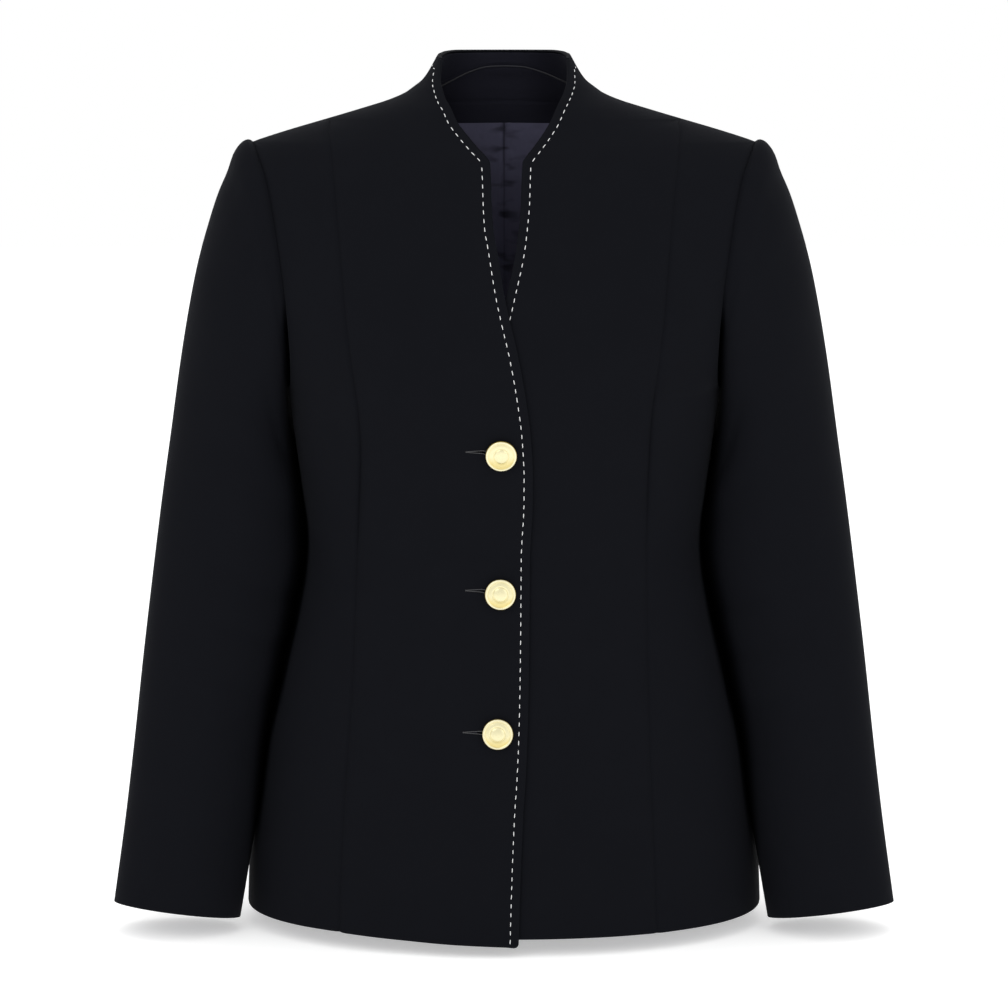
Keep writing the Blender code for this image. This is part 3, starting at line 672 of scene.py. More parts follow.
def joined(name, parts, material):
    """One mesh from several lists of points (mm) and faces."""
    vertices, faces, start = [], [], 0
    for points, part_faces in parts:
        vertices.extend((np.asarray(points) * MM).tolist())
        faces.extend(tuple(i + start for i in face) for face in part_faces)
        start += len(points)
    mesh = bpy.data.meshes.new(name)
    mesh.from_pydata(vertices, [], faces)
    mesh.materials.append(material)
    form = bmesh.new()
    form.from_mesh(mesh)
    bmesh.ops.recalc_face_normals(form, faces=form.faces)
    form.to_mesh(mesh)
    form.free()
    smooth_by_angle(mesh)
    piece = new_object(name, mesh)
    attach(piece, BODY)
    return piece


def wall(
    node,
    points,
    grain,
    outside_left,
    wool=None,
    cloth="wool",
    thickness=CLOTH,
    rests_on=(),
    **options,
):
    """The cloth shell that stands for one CAD wall.

    wool is a mask of the points where a wool wall is wool on its inside too; the rest is lined with
    satin. A wall without it is one cloth through.
    """
    materials, inside = [finish(cloth), finish(cloth)], 0
    if wool is not None:
        materials.append(finish("satin"))
        inside = np.where(wool[:-1, :-1], 0, 1)
    form = points, grain, thickness, materials, inside, outside_left
    piece = shell(node + "_cloth", *form, **options)
    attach(piece, BODY)
    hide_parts(node)


# ---------------------------------------------------------------- shader maths
class Value:
    """A number or vector that varies over a surface. Python's operators add Math nodes."""

    def __init__(self, owner, socket):
        self.owner, self.socket = owner, socket

    def maths(self, operation, *values):
        return self.owner.node("ShaderNodeMath", {"operation": operation}, dict(enumerate(values)))

    def __add__(self, other):
        return self.maths("ADD", self, other)

    def __sub__(self, other):
        return self.maths("SUBTRACT", self, other)

    def __rsub__(self, other):
        return self.maths("SUBTRACT", other, self)

    def __mul__(self, other):
        return self.maths("MULTIPLY", self, other)

    def __truediv__(self, other):
        return self.maths("DIVIDE", self, other)

    __radd__ = __add__
    __rmul__ = __mul__

    def sine(self):
        return self.maths("SINE", self)

    def size(self):
        return self.maths("ABSOLUTE", self)

    def exponential(self):
        return self.maths("EXPONENT", self)

    def at_least(self, least):
        return self.maths("MAXIMUM", self, least)

    def at_most(self, most, blend):
        return self.maths("SMOOTH_MIN", self, most, blend)


class Finish:
    """A procedural material, whose nodes are made by one method."""

    def __init__(self, name):
        self.material = bpy.data.materials.new(name)
        self.material.use_nodes = True
        self.tree = self.material.node_tree
        self.shader = self.tree.nodes["Principled BSDF"]

    def node(self, kind, settings=None, values=None, output=0):
        made = self.tree.nodes.new(kind)
        for setting, value in (settings or {}).items():
            setattr(made, setting, value)
        for socket, value in (values or {}).items():
            if isinstance(value, Value):
                self.tree.links.new(value.socket, made.inputs[socket])
            else:
                made.inputs[socket].default_value = value
        return Value(self, made.outputs[output])

    def mix(self, share, first, second):
        """A colour between two, through a Mix node."""
        values = {0: share, 6: (*first, 1) if isinstance(first, tuple) else first}
        values[7] = (*second, 1) if isinstance(second, tuple) else second
        return self.node("ShaderNodeMix", {"data_type": "RGBA"}, values, output=2)

    def along(self, axis):
        """One coordinate of the cloth attribute: 0 across the grain and 1 along it, in metres, and
        2 the painted shade. A button's three carry its tones, partly painted light.
        """
        held = self.node("ShaderNodeAttribute", {"attribute_name": "cloth"}, output=1)
        return self.node("ShaderNodeSeparateXYZ", None, {0: held}, output=axis)

    def aside(self):
        """How far to the wearer's left of the centre a point of the object is, in metres."""
        place = self.node("ShaderNodeTexCoord", output=3)
        return self.node("ShaderNodeSeparateXYZ", None, {0: place}, output=0)

    def noise(self, per_metre, detail=2.0, stretch=(1, 1, 1)):
        """Soft noise through the object, from 0 to 1."""
        place = self.node("ShaderNodeTexCoord", output=3)
        settings = {"operation": "MULTIPLY"}
        scaled = self.node("ShaderNodeVectorMath", settings, {0: place, 1: stretch})
        values = {"Vector": scaled, "Scale": per_metre, "Detail": detail}
        return self.node("ShaderNodeTexNoise", None, values)

    def bump(self, height, distance, strength=1.0):
        values = {"Height": height, "Distance": distance, "Strength": strength}
        normal = self.node("ShaderNodeBump", None, values)
        self.feed(Normal=normal)

    def feed(self, **values):
        """Link what varies, and set what doesn't, on the surface's own sockets."""
        for socket, value in values.items():
            target = self.shader.inputs[socket.replace("_", " ")]
            if isinstance(value, Value):
                self.tree.links.new(value.socket, target)
            else:
                target.default_value = (*value, 1) if isinstance(value, tuple) else value


finishes = {}


def finish(name):
    """A material by its plain name, made the first time that it is needed."""
    if name not in finishes:
        finishes[name] = FINISHES[name](bpy.context.scene.jacket_looks)
    return finishes[name]


def toned(colours, times=1.5):
    """The same colour, lighter or darker."""
    return tuple(c * times for c in colours)


def twill(name, looks, tint=(1, 1, 1), sheen=0.018, specular=0.03):
    """Fine worsted twill, nearly black, with a faint bloom at its edges."""
    made = Finish(name)
    across, along, shade = made.along(0), made.along(1), made.along(2)
    pitch = 2 * math.pi / looks.twill_pitch
    rib = (across * pitch + along * (pitch * 1.35)).sine() * 0.5 + 0.5
    yarn = (across * (pitch * 1.5) - along * (pitch * 0.7)).sine() * 0.5 + 0.5
    fibre = made.noise(2600, 3.0)
    cloud = made.noise(38, 2.0)
    dark = tuple(c * t for c, t in zip(looks.wool_colour, tint))
    share = rib * 0.28 + fibre * 0.42 + cloud * 0.30
    cloth = made.mix(share, dark, toned(dark))
    # Painted shade: the cloth's shade channel darkens the wool towards black and takes away its
    # sheen and shine, beside the sleeves, in the seams' grooves and inside the neck.
    flat = shade * looks.crease_shade
    made.feed(Base_Color=made.mix(flat, cloth, (0.0001, 0.0001, 0.0002)))
    made.feed(Roughness=0.84 + fibre * 0.14, Sheen_Weight=(1 - flat) * sheen, Sheen_Roughness=0.35)
    made.feed(Sheen_Tint=(0.86, 0.9, 1.0), Specular_IOR_Level=(1 - flat) * specular)
    made.bump(rib * 0.55 + yarn * 0.25 + fibre * 0.5, 0.00011, 0.5)
    return made.material


def wool_finish(looks):
    return twill("wool_twill", looks)


def facing_finish(looks):
    """The same wool inside the neck, painted lighter and tinted as a lit copy of the wool, standing
    in for light there.
    """
    tint = [looks.facing_painted_lift * t for t in (1.03, 0.97, 1.10)]
    return twill("wool_facing_painted_light", looks, tint, sheen=0.05, specular=0.08)


def satin_finish(looks):
    """Navy satin lining: long warp floats, a soft shine and slight shade between them."""
    made = Finish("lining_satin")
    floats = (made.along(0) * (2 * math.pi / SATIN_PITCH)).sine() * 0.5 + 0.5
    slub = made.noise(420, 2.0, stretch=(1, 1, 0.12))
    cloud = made.noise(60, 2.0)
    dark = tuple(looks.lining_colour)
    cloth = made.mix(cloud * 0.6 + slub * 0.4, dark, toned(dark))
    # The seam is pulled, so small troughs cross the cloth beside it; they bump the surface, and
    # painted shade darkens their colour.
    beside = (made.aside().size() * -75.0).exponential()
    rough = made.noise(120, 1.6, stretch=(0.42, 0.42, 1.0))
    trough = ((rough - 0.52) * 7.0).at_least(0.0).at_most(1.0, 0.3)
    trough = trough * beside * looks.lining_puckers
    # Painted shade from the cloth's shade channel: darker deeper inside the jacket and along the
    # centre seam.
    cloth = made.mix(made.along(2) * 0.92, cloth, (0.004, 0.004, 0.006))
    made.feed(Base_Color=made.mix(trough, cloth, (0.006, 0.006, 0.010)))
    made.feed(Roughness=0.40 + slub * 0.16, Specular_IOR_Level=0.25, Sheen_Weight=0.05)
    made.bump(floats * 0.04 + slub * 0.06 - trough, 0.0008, 0.5)
    return made.material


def thread_finish(looks):
    """White silk thread of the pick stitches, lightly twisted."""
    made = Finish("pick_thread")
    ply = made.noise(2400, 2.0)
    white = tuple(looks.thread_colour)
    made.feed(Base_Color=made.mix(ply, toned(white, 0.82), white))
    made.feed(Roughness=0.55 + ply * 0.2, Sheen_Weight=0.2)
    made.bump(ply, 0.0001, 0.5)
    return made.material


def cord_finish(looks):
    """The corded edge of the buttonholes: grey buttonhole twist."""
    made = Finish("buttonhole_twist")
    purl = (made.aside() * (2 * math.pi / PURL_PITCH)).sine() * 0.5 + 0.5
    grey = tuple(looks.buttonhole_colour)
    made.feed(Base_Color=made.mix(purl, toned(grey, 0.55), grey))
    made.feed(Roughness=0.6 + purl * 0.15)
    made.bump(purl, 0.00015, 0.6)
    return made.material


def edge_finish(looks):
    """The same wool where it is turned over an edge and chafed a little lighter."""
    made = Finish("wool_turned_edge")
    fibre = made.noise(2600, 3.0)
    dark = tuple(looks.wool_colour)
    made.feed(Base_Color=made.mix(fibre, dark, toned(dark)))
    made.feed(Roughness=0.8 + fibre * 0.14, Sheen_Weight=0.02, Specular_IOR_Level=0.05)
    made.bump(fibre, 0.0001, 0.4)
    return made.material


def neck_cord_finish(looks):
    """The satin cord in the neck seam, lighter than the wool as a painted highlight, brightest near
    its middle and dark towards its ends.
    """
    made = Finish("neck_cord_painted_highlight")
    ply = made.noise(1500, 2.0)
    dark = tuple(looks.neck_cord_colour)
    cord = made.mix(ply, dark, toned(dark))
    # Painted highlight: the cord is light near its middle and fades to dark towards its ends.
    aside = (made.aside() - 0.004) / 0.033
    painted_highlight = (aside * aside * -1.0).exponential()
    made.feed(Base_Color=made.mix(painted_highlight, (0.006, 0.006, 0.008), cord))
    made.feed(Roughness=0.45 + ply * 0.15, Sheen_Weight=0.05, Specular_IOR_Level=0.3)
    made.bump(ply, 0.0001, 0.4)
    return made.material


def gilt_finish(looks):
    """Pale satin gilt with fine turned marks. Painted tones: warmer in the two grooves, a painted
    reflection of the dark cloth on the lower part, a painted highlight ring inside the rim and a
    dark outline round the side, painted reflection and shade of the cloth.
    """
    made = Finish("button_gilt")
    mottle = made.noise(900, 3.0)
    bright = tuple(looks.gilt_colour)
    warm = (bright[0] * 0.87, bright[1] * 0.77, bright[2] * 0.48)
    gilt = made.mix(made.along(0) + mottle * 0.16, bright, warm)
    gilt = made.mix(made.along(2), gilt, (0.81, 0.775, 0.60))
    made.feed(Base_Color=made.mix(made.along(1), gilt, (0.42, 0.30, 0.05)))
    made.feed(Metallic=1.0, Roughness=0.28 + mottle * 0.1)
    made.bump(mottle, 0.00006, 0.3)
    return made.material


def floor_finish(looks):
    """A white studio sweep, lit past white so that only contact shadows show."""
    made = Finish("studio_floor")
    grain = made.noise(3.0, 1.0)
    made.feed(Base_Color=made.mix(grain, (0.86, 0.86, 0.86), (0.88, 0.88, 0.88)))
    made.feed(Roughness=1.0, Specular_IOR_Level=0.0)
    made.feed(Emission_Color=(1.0, 1.0, 1.0), Emission_Strength=0.42)
    return made.material


FINISHES = {
    "wool": wool_finish,
    "wool_edge": edge_finish,
    "facing": facing_finish,
    "satin": satin_finish,
    "thread": thread_finish,
    "cord": cord_finish,
    "neck_cord_painted_highlight": neck_cord_finish,
    "gilt": gilt_finish,
    "floor": floor_finish,
}


# ---------------------------------------------------------------- fronts
def buttonhole_cutter(place):
    """The tapered slot that the CAD front has too."""
    height = BUTTON_HEIGHTS[place]
    centre = on_front(-BUTTON_ACROSS[place], height)
    form = bmesh.new()
    bmesh.ops.create_cube(form, size=1)
    for corner in form.verts:
        at_tip = corner.co.x < 0
        width = BUTTONHOLE_TIP if at_tip else BUTTONHOLE_WIDTH
        x = BUTTONHOLE_EASE - BUTTONHOLE_LENGTH if at_tip else BUTTONHOLE_EASE
        rise = BUTTONHOLE_RISE[place] if at_tip else 0
        corner.co = Vector((x, corner.co.y * CUTTER_DEPTH, corner.co.z * width + rise)) * MM
    mesh = bpy.data.meshes.new(f"slot_{place}")
    form.to_mesh(mesh)
    form.free()
    cutter = new_object(mesh.name, mesh)
    cutter.location = centre * MM
    return cutter


def front_centre(side, looks):
    """From the front edge to the princess seam, up into the collar and to the shoulder seam."""
    sheet = Sheet()
    upper = [SHOULDER_TIP + 2, -30, -26, -22, *np.arange(-18.6, 33, 2.6), 32.2, COLLAR_TOP]
    levels = [at for at, _ in body_levels()]
    levels += [*np.arange(UNDERARM, -64, 4.5), *np.arange(-62, SHOULDER_TIP, 1.6), *upper]
    for at in levels:
        turns = front_edge_turn(side, at), princess_turn(side, at)
        points, start, end = row_between(side, (at, at), turns, 44, sewn=(0, 1))
        sheet.add(points, start, end, at)
    points, start, end, grain = sheet.arrays()
    height = points[..., 2]
    raised = lap_lift(points) if side == RIGHT else np.zeros(height.shape)
    raised = raised + dipped(end, looks.seam_depth) - 0.35 * bell(start, 1.6)
    points = points + raised[..., None] * outward(points)
    grain[..., 2] = groove_shade(side, end, height) / MM
    if side == RIGHT:
        points[..., 2] -= lap_drop(height) * (1 - np.linspace(0, 1, points.shape[1]))
    wool = (start < FRONT_FACING) | (height < HEM + WOOL_HEM) | (height > SHOULDER_FACING)
    cutters = [buttonhole_cutter(place) for place in BUTTON_HEIGHTS] if side == RIGHT else []
    wall(f"front_{side_word(side)}_centre", points, grain, side == LEFT, wool, cutters=cutters)


def front_side(side, looks):
    """From the princess seam to the side seam and armhole, ending in a point on the shoulder."""
    sheet = Sheet()
    pairs = [*body_levels(), *armhole_levels()]
    pairs += [(at, at) for at in (-34, -31, -28, -25.5, -23, -21, -19.6)]
    for at, at_side in pairs:
        turns = princess_turn(side, at), side_turn(at_side)
        points, start, end = row_between(side, (at, at_side), turns, 34)
        sheet.add(points, start, end, at)
    tip = PRINCESS_TOP - NECK_OVERLAP
    points, start, end = row_between(side, (tip, tip), (PRINCESS_TIP_TURN, 90), 34)
    sheet.add(points, start, end, tip)
    points, start, end, grain = sheet.arrays()
    raised = dipped(start, looks.seam_depth) + dipped(end, looks.seam_depth)
    small = ease(start + end, 3, 30)
    out, height = np.abs(points[..., 0]), points[..., 2]
    raised = small * (raised + creased(out, height, SIDE_CREASES))
    points = points + raised[..., None] * outward(points)
    shade = np.maximum(shade_beside_sleeve(points), groove_shade(side, start, height))
    grain[..., 2] = shade / MM
    wall(f"front_{side_word(side)}_side", points, grain, side == LEFT, height < HEM + WOOL_HEM)


# ---------------------------------------------------------------- backs, collar and linings
def back_sheet(side, pairs, count=56):
    sheet = Sheet()
    for at, at_side in pairs:
        turns = side_turn(at_side, back=True), 180
        points, start, end = row_between(side, (at_side, at), turns, count)
        sheet.add(points, start, end, at)
    return sheet.arrays()


def back_panel(side, looks):
    """From the side seam, armhole and shoulder seam to the centre back seam, below the neck."""
    upper = (-34, -31, -28, -25, -22, -19, -16, -13, -10, -8, -6, -4, -2, -1, 0.2)
    pairs = [*body_levels(), *armhole_levels(), *[(at, at) for at in upper]]
    points, start, end, grain = back_sheet(side, pairs)
    out, height = np.abs(points[..., 0]), points[..., 2]
    neck = dipped(np.abs(height + 0.15) * 1.5, looks.seam_depth) * (points[..., 1] > 30)
    uneven = 1.0 if side == RIGHT else 0.7
    raised = dipped(start, looks.seam_depth) + dipped(end, looks.seam_depth) + neck
    shift = 0 if side == RIGHT else 14
    raised = raised + uneven * creased(out, height + shift, BACK_CREASES)
    points = points + raised[..., None] * outward(points)
    grain[..., 2] = shade_beside_sleeve(points) / MM
    wall(f"back_{side_word(side)}", points, grain, side == LEFT, height < HEM + WOOL_HEM)


def collar_back(looks):
    """The stand collar behind the neck, between the two shoulder seams."""
    levels = [NECK_SEAM - NECK_OVERLAP, 1, 2, 3.2, *np.arange(5, 31, 2.0), 31.4, 32.3, COLLAR_TOP]
    sheet = Sheet()
    for at in levels:
        right, start, end = row_between(RIGHT, (at, at), (90, 180), 46, sewn=(1, 0))
        left, _, _ = row_between(LEFT, (at, at), (90, 180), 46, sewn=(1, 0))
        points = np.concatenate([right, left[-2::-1]])
        from_end = np.concatenate([start, start[-2::-1]])
        other = np.concatenate([start, start[-1] + end[-2::-1]])
        sheet.add(points, other, from_end, at)
    points, other, from_end, grain = sheet.arrays()
    above = np.array(levels)[:, None] - levels[0]
    raised = dipped(from_end, looks.seam_depth) + dipped(above + 0 * from_end, looks.seam_depth)
    raised = raised * ease(from_end, -0.1, 0.5)
    points = points + raised[..., None] * outward(points)
    wall("collar_back", points, grain, False)


def round_neck(start, columns):
    """Turns and sides of places from the right of the neck round the back to the left."""
    turns = np.linspace(start, 180, columns)
    turn = np.concatenate([turns, turns[-2::-1]])
    return turn, np.concatenate([np.full(columns, RIGHT), np.full(columns - 1, LEFT)])


def inner_back(start, shares, low_at, high_at, raised_at, columns=71):
    """Rows round the inside of the neck, between two edges whose heights change with the turn."""
    turn, side = round_neck(start, columns)
    low, high = low_at(turn), high_at(turn)
    rows, grain = [], []
    for share in shares:
        height = low + share * (high - low)
        points = form_points(side, turn, height)
        inner = -(CLOTH + LAYER_GAP * ease(turn, 80, 100))
        raised = raised_at(points, height - low, high - height)
        rows.append(points + (inner - raised)[:, None] * outward(points))
        open_share = 1 - INNER_COLLAR_SHADE * ease(height, -6, 24)
        open_share = open_share * (1 - COLLAR_CORNER_SHADE * ease(np.abs(points[:, 0] + 5), 14, 46))
        grain.append(np.stack([points[:, 0], height, (1 - open_share) / MM], axis=-1))
    return np.array(rows), np.array(grain)


def inner_layer(node, rows, upper):
    """A thin wool layer inside the neck."""
    wall(node, *rows, False, cloth="facing", thickness=FACING, rests_on=(upper,), edge_radius=0.4)


def collar_facing():
    """The collar's inner layer, from its top edge to the curved seam."""

    def swell(points, above, below):
        wrinkle = 0.35 * bell(above, 0.9, 3.2) * bell(points[..., 0], 17)
        return wrinkle - 0.3 * bell(above, 1.2)

    shares = [0, 0.04, 0.09, *np.linspace(0.15, 0.85, 10), 0.92, 0.96, 1]
    rows = inner_back(
        COLLAR_FACING_START,
        shares,
        lambda turn: FACING_SEAM_AT(turn) - NECK_OVERLAP,
        lambda turn: COLLAR_EDGE_AT(turn) - 0.4,
        swell,
    )
    inner_layer("collar_facing", rows, "collar_back_cloth")


def back_neck_facing():
    """The wool facing below the inner collar, with a straight lower edge."""

    def swell(points, above, below):
        fold = 0.5 * bell(below, 0.8, 2.6) * bell(points[..., 0], 22, 8)
        second = 0.35 * bell(below, 0.9, 5.0) * bell(points[..., 0], 16, 3)
        tape = -0.45 * bell(points[..., 2], 1.1, -4.5)
        return tape + fold + second - 0.3 * bell(below, 1.2)

    shares = [0, 0.02, 0.05, *np.linspace(0.08, 0.92, 28), 0.95, 0.98, 1]
    low = LINING_TOP - NECK_OVERLAP
    rows = inner_back(FACING_START, shares, lambda t: low + 0 * t, FACING_SEAM_AT, swell)
    inner_layer("back_neck_facing", rows, "collar_facing_cloth")


def neck_ridge():
    """The corded seam between inner collar and neck facing, whose highlight is painted into its
    finish.
    """
    turn, side = round_neck(FACING_START + 1.5, 70)
    path = form_points(side, turn, FACING_SEAM_AT(turn))
    path = path - (CLOTH + LAYER_GAP + FACING + 0.25) * outward(path)
    path[:, 2] -= np.where(side == RIGHT, NECK_CORD_DROP * (1 - ease(turn, 108, 172)), 0)
    joined("neck_seam_cord", [tube(path, 0.6)], finish("neck_cord_painted_highlight"))


def collar_roll():
    """The turned top edge that closes the collar and its inner layer."""
    turn, side = round_neck(COLLAR_FACING_START, 80)
    top = form_points(side, turn, COLLAR_EDGE_AT(turn))
    normal = outward(top)
    normal[..., 2] = 0
    normal /= lengths(normal)
    thick = (CLOTH + FACING + LAYER_GAP * ease(turn, 80, 100))[:, None]
    rows = []
    for angle in np.radians([-8, 12, 35, 60, 90, 120, 145, 168, 188]):
        across = -thick / 2 + thick / 2 * math.cos(angle)
        up = -0.75 + 1.15 * math.sin(angle)
        rows.append(top + across * normal + np.array([0, 0, up]))
    rows = np.array(rows)
    grain = np.broadcast_to(top[:, [0, 2, 1]] * np.array([1, 1, 0]), rows.shape)
    materials = (finish("wool_edge"), finish("wool_edge"))
    piece = shell("collar_edge_roll", rows, grain, 0.5, materials, 0, False, edge_radius=0)
    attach(piece, BODY)


def lining_back(side):
    """Half of the satin back lining, inside the wool back, from the facing to above the hem."""
    pairs = [*body_levels(), *armhole_levels(), *[(at, at) for at in (-34, -31, -28.5, -26.5)]]
    pairs = [pair for pair in pairs if LINING_HEM < pair[0] < LINING_TOP - 1]
    ends = [(at, at) for at in (LINING_HEM, LINING_TOP - 0.6, LINING_TOP)]
    points, _, end, grain = back_sheet(side, [ends[0], *pairs, *ends[1:]])
    out, height = points[..., 0], points[..., 2]
    pull = 0.6 * bell(end, 1.3) - 0.35 * bell(end, 1.6, 3.2)
    raised = -(CLOTH + LAYER_GAP) + pull + 1.7 * creased(out, height, LINING_PUCKERS)
    raised = np.minimum(raised, -(CLOTH + 0.4))
    # Painted shade: darker further down inside the jacket, and a dark line along the centre seam.
    deep = 0.28 * ease(-height, 38, 75) + 0.38 * ease(-height, 70, 190)
    grain[..., 2] = np.maximum(bell(end, 1.2), deep) / MM
    points = points + raised[..., None] * outward(points)
    wall(
        f"lining_back_{side_word(side)}",
        points,
        grain,
        side == LEFT,
        cloth="satin",
        thickness=LINING,
        rests_on=("back_neck_facing_cloth",),
        edge_radius=0.35,
    )


# ---------------------------------------------------------------- sleeves
def armhole_points(side, angles):
    points = []
    for angle in angles % 360:
        at = min(max(armhole_height(angle), UNDERARM + 0.001), SHOULDER_TIP - 0.001)
        points.append(torso_points(side, side_turn(at, back=angle > 180), at))
    return np.array(points)


def sleeve_ring(side, along, angles):
    """Points of one tilted ring. An angle of 0 is at the outer end, 90 in front."""
    values = {column: float(SLEEVE_AT[column](along)) for column in SLEEVE_AT}
    outer = np.array([values["outer_out"], 0, values["outer_up"]])
    inner = np.array([values["inner_out"], 0, values["inner_up"]])
    lean = math.radians(values["lean"])
    middle = (outer + inner) / 2 - np.array([0, values["forward"], 0])
    to_front = values["half_depth"] * np.array([0, -math.cos(lean), math.sin(lean)])
    angle = np.radians(angles)[:, None]
    points = middle + (outer - inner) / 2 * np.cos(angle) + to_front * np.sin(angle)
    return points * np.array([side, 1, 1])


def clear_of_body(points, along):
    """Sleeve points that would enter the torso are pressed out sideways, as cloth is."""
    room = BODY_CLEARANCE * ease(along, 0, BODY_CLEARANCE_FADE)
    half_width, front_depth, back_depth, squareness = ring(points[..., 2])
    depth = np.where(points[..., 1] < 0, front_depth, back_depth) + room
    share = np.minimum(np.abs(points[..., 1] / depth), BODY_DEPTH_SHARE)
    least = (half_width + room) * arc(share, squareness)
    pressed = np.sign(points[..., 0]) * np.maximum(np.abs(points[..., 0]), least)
    free = (points[..., 2] > UNDERARM) | (np.abs(points[..., 1] / depth) >= BODY_DEPTH_SHARE)
    points = points.copy()
    points[..., 0] = np.where(free, points[..., 0], pressed)
    return points


def sleeve(side, part, looks):
    """Top sleeve or under sleeve. Both seams are rolled under, towards the body."""
    gap = -0.03  # degrees by which the two parts pass each other in a seam
    if part == "top":
        angles = np.linspace(BACK_SEAM_ANGLE + gap, FRONT_SEAM_ANGLE + 360 - gap, 86)
    else:
        angles = np.linspace(FRONT_SEAM_ANGLE + gap, BACK_SEAM_ANGLE - gap, 44)
    # The rings' points crowd at the two seams.
    close = 1.9 * np.array([0, 0.35, 0.8, 1.35, 2.0])
    first, last = angles[0] + close[:-1], angles[-1] - close[-2::-1]
    angles = np.concatenate([first, angles[2:-2], last])
    seam = armhole_points(side, angles)
    start = sleeve_ring(side, 0, angles)
    runs = [0, 0.8, 1.8, 3, 4.5, 6, 8, 10.5, 13, 16, 20, 25, *np.arange(31, 590, 5.5)]
    runs += [591.5, 593.5, 595.2, 596.4, 597.3, SLEEVE_LENGTH]
    rows = []
    for along in runs:
        fade = 1 - ease(along, 0, CAP_FADE)
        rows.append(clear_of_body(sleeve_ring(side, along, angles) + fade * (seam - start), along))
    away = rows[1] - seam
    rows[0] = seam - SLEEVE_TUCK[0] * outward(seam) - SLEEVE_TUCK[1] * away / lengths(away)
    points = np.array(rows)
    # The grid's own normals, for the seams and creases.
    normal = np.cross(np.gradient(points, axis=1), np.gradient(points, axis=0))
    normal /= lengths(normal)
    if np.mean(normal[..., 0] * (points[..., 0] - side * 200)) < 0:
        normal = -normal
    along = np.array(runs)[:, None]
    start_d = run_along(points)
    end_d = start_d[:, -1:] - start_d
    shift = 0 if side == RIGHT else 12
    shape = creased((angles % 360)[None, :], along - shift, SLEEVE_CREASES)
    head = dipped(along + 0 * start_d, looks.seam_depth * 0.8)
    pressed = looks.seam_depth * SLEEVE_SEAM_SHARE
    raised = dipped(start_d, pressed) + dipped(end_d, pressed)
    raised = (raised + head) * ease(along, -1, 3) + ease(along, 30, 90) * shape
    points = points + np.minimum(raised, 0.6)[..., None] * normal
    shade = shade_beside_body(points) / MM
    grain = np.stack([start_d - start_d[:, -1:] / 2, along + 0 * start_d, shade], axis=-1)
    wool = along + 0 * start_d > SLEEVE_LENGTH - WOOL_HEM
    wall(f"sleeve_{side_word(side)}_{part}", points, grain, side == LEFT, wool, edge_radius=0.2)


# ---------------------------------------------------------------- buttons, buttonholes, stitches
def button_seat(place):
    """The point of the top cloth under a button and the outward normal there."""
    under = on_front(-BUTTON_ACROSS[place], BUTTON_HEIGHTS[place])
    normal = outward(under)
    return under + (LAP_GAP + CLOTH) * normal, normal


def button(place):
    """A domed metal button with a ring round its centre and a rolled rim."""
    seat, normal = button_seat(place)
    turns = 72
    vertices, faces, rings = [], [], []
    for radius, height in BUTTON_PROFILE:
        if radius == 0:
            rings.append([len(vertices)])
            vertices.append((0, 0, height))
            continue
        rings.append(list(range(len(vertices), len(vertices) + turns)))
        for k in range(turns):
            angle = 2 * math.pi * k / turns
            vertices.append((radius * math.cos(angle), radius * math.sin(angle), height))
    for first, second in zip(rings, rings[1:]):
        for k in range(turns):
            n = (k + 1) % turns
            if len(first) == 1:
                faces.append((first[0], second[k], second[n]))
            elif len(second) == 1:
                faces.append((first[k], second[0], first[n]))
            else:
                faces.append((first[k], second[k], second[n], first[n]))
    turned = Vector(normal).to_track_quat("Z", "Y").to_matrix()
    base = seat + BUTTON_GAP * normal
    points = [np.array(turned @ Vector(v)) + base for v in vertices]
    piece = joined(f"button_{place}_gilt", [(points, faces)], finish("gilt"))
    smooth_by_angle(piece.data, 60)
    # Painted tones of the button: warmer in its two grooves, and on its lower part as a painted
    # reflection of the dark cloth; a dark outline round its side, painted reflection and shade of
    # the cloth; a light painted highlight ring inside the rim.
    local = np.array(vertices) / BUTTON_RADIUS
    out = np.hypot(local[:, 0], local[:, 1])
    groove_tone_and_reflection = 0.35 * bell(out, 0.035, 0.47) + 0.35 * bell(out, 0.03, 0.8)
    lower = np.array([(turned @ Vector(v)).z for v in vertices]) / BUTTON_RADIUS
    groove_tone_and_reflection += 0.75 * ease(out, 0.3, 0.55) * (1 - ease(out, 0.8, 0.88)) * ease(-lower, 0.0, 0.65)
    edge, painted_rim_highlight = ease(out, 0.945, 0.975), ease(out, 0.88, 0.92) * (1 - ease(out, 0.93, 0.955))
    set_cloth(piece.data, np.stack([groove_tone_and_reflection, edge, painted_rim_highlight], axis=-1))
    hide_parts(f"button_{place}")


def lifted_front(across, height, raised):
    """A point on the right front's outside, from the signed distance from the centre."""
    point = on_front(across, height)
    return point + (lap_lift(point) + raised)[..., None] * outward(point)


def buttonhole_cords():
    """A fine corded edge above and below each slot, meeting at the tip, with a bar there."""
    parts = []
    for place, height in BUTTON_HEIGHTS.items():
        tip = -BUTTON_ACROSS[place] + BUTTONHOLE_EASE - BUTTONHOLE_LENGTH
        for sign in (-1, 1):
            share = np.linspace(0, 1, 22)
            across = tip - 0.6 + share * (BUTTONHOLE_LENGTH - BUTTONHOLE_EASE - 3)
            half = 0.2 + share * (BUTTONHOLE_WIDTH - BUTTONHOLE_TIP) / 2 * 0.92
            rise = BUTTONHOLE_RISE[place] * ease(1 - share, 0, 0.5)
            path = lifted_front(across, height + rise + sign * half, 0.15)
            parts.append(tube(path, 0.27 * ease(share, -0.15, 0.12)))
        rise = BUTTONHOLE_RISE[place] + np.linspace(-0.6, 0.6, 7)
        path = lifted_front(np.full(7, tip - 0.5), height + rise, 0.15)
        parts.append(tube(path, 0.27))
    joined("buttonhole_cords", parts, finish("cord"))


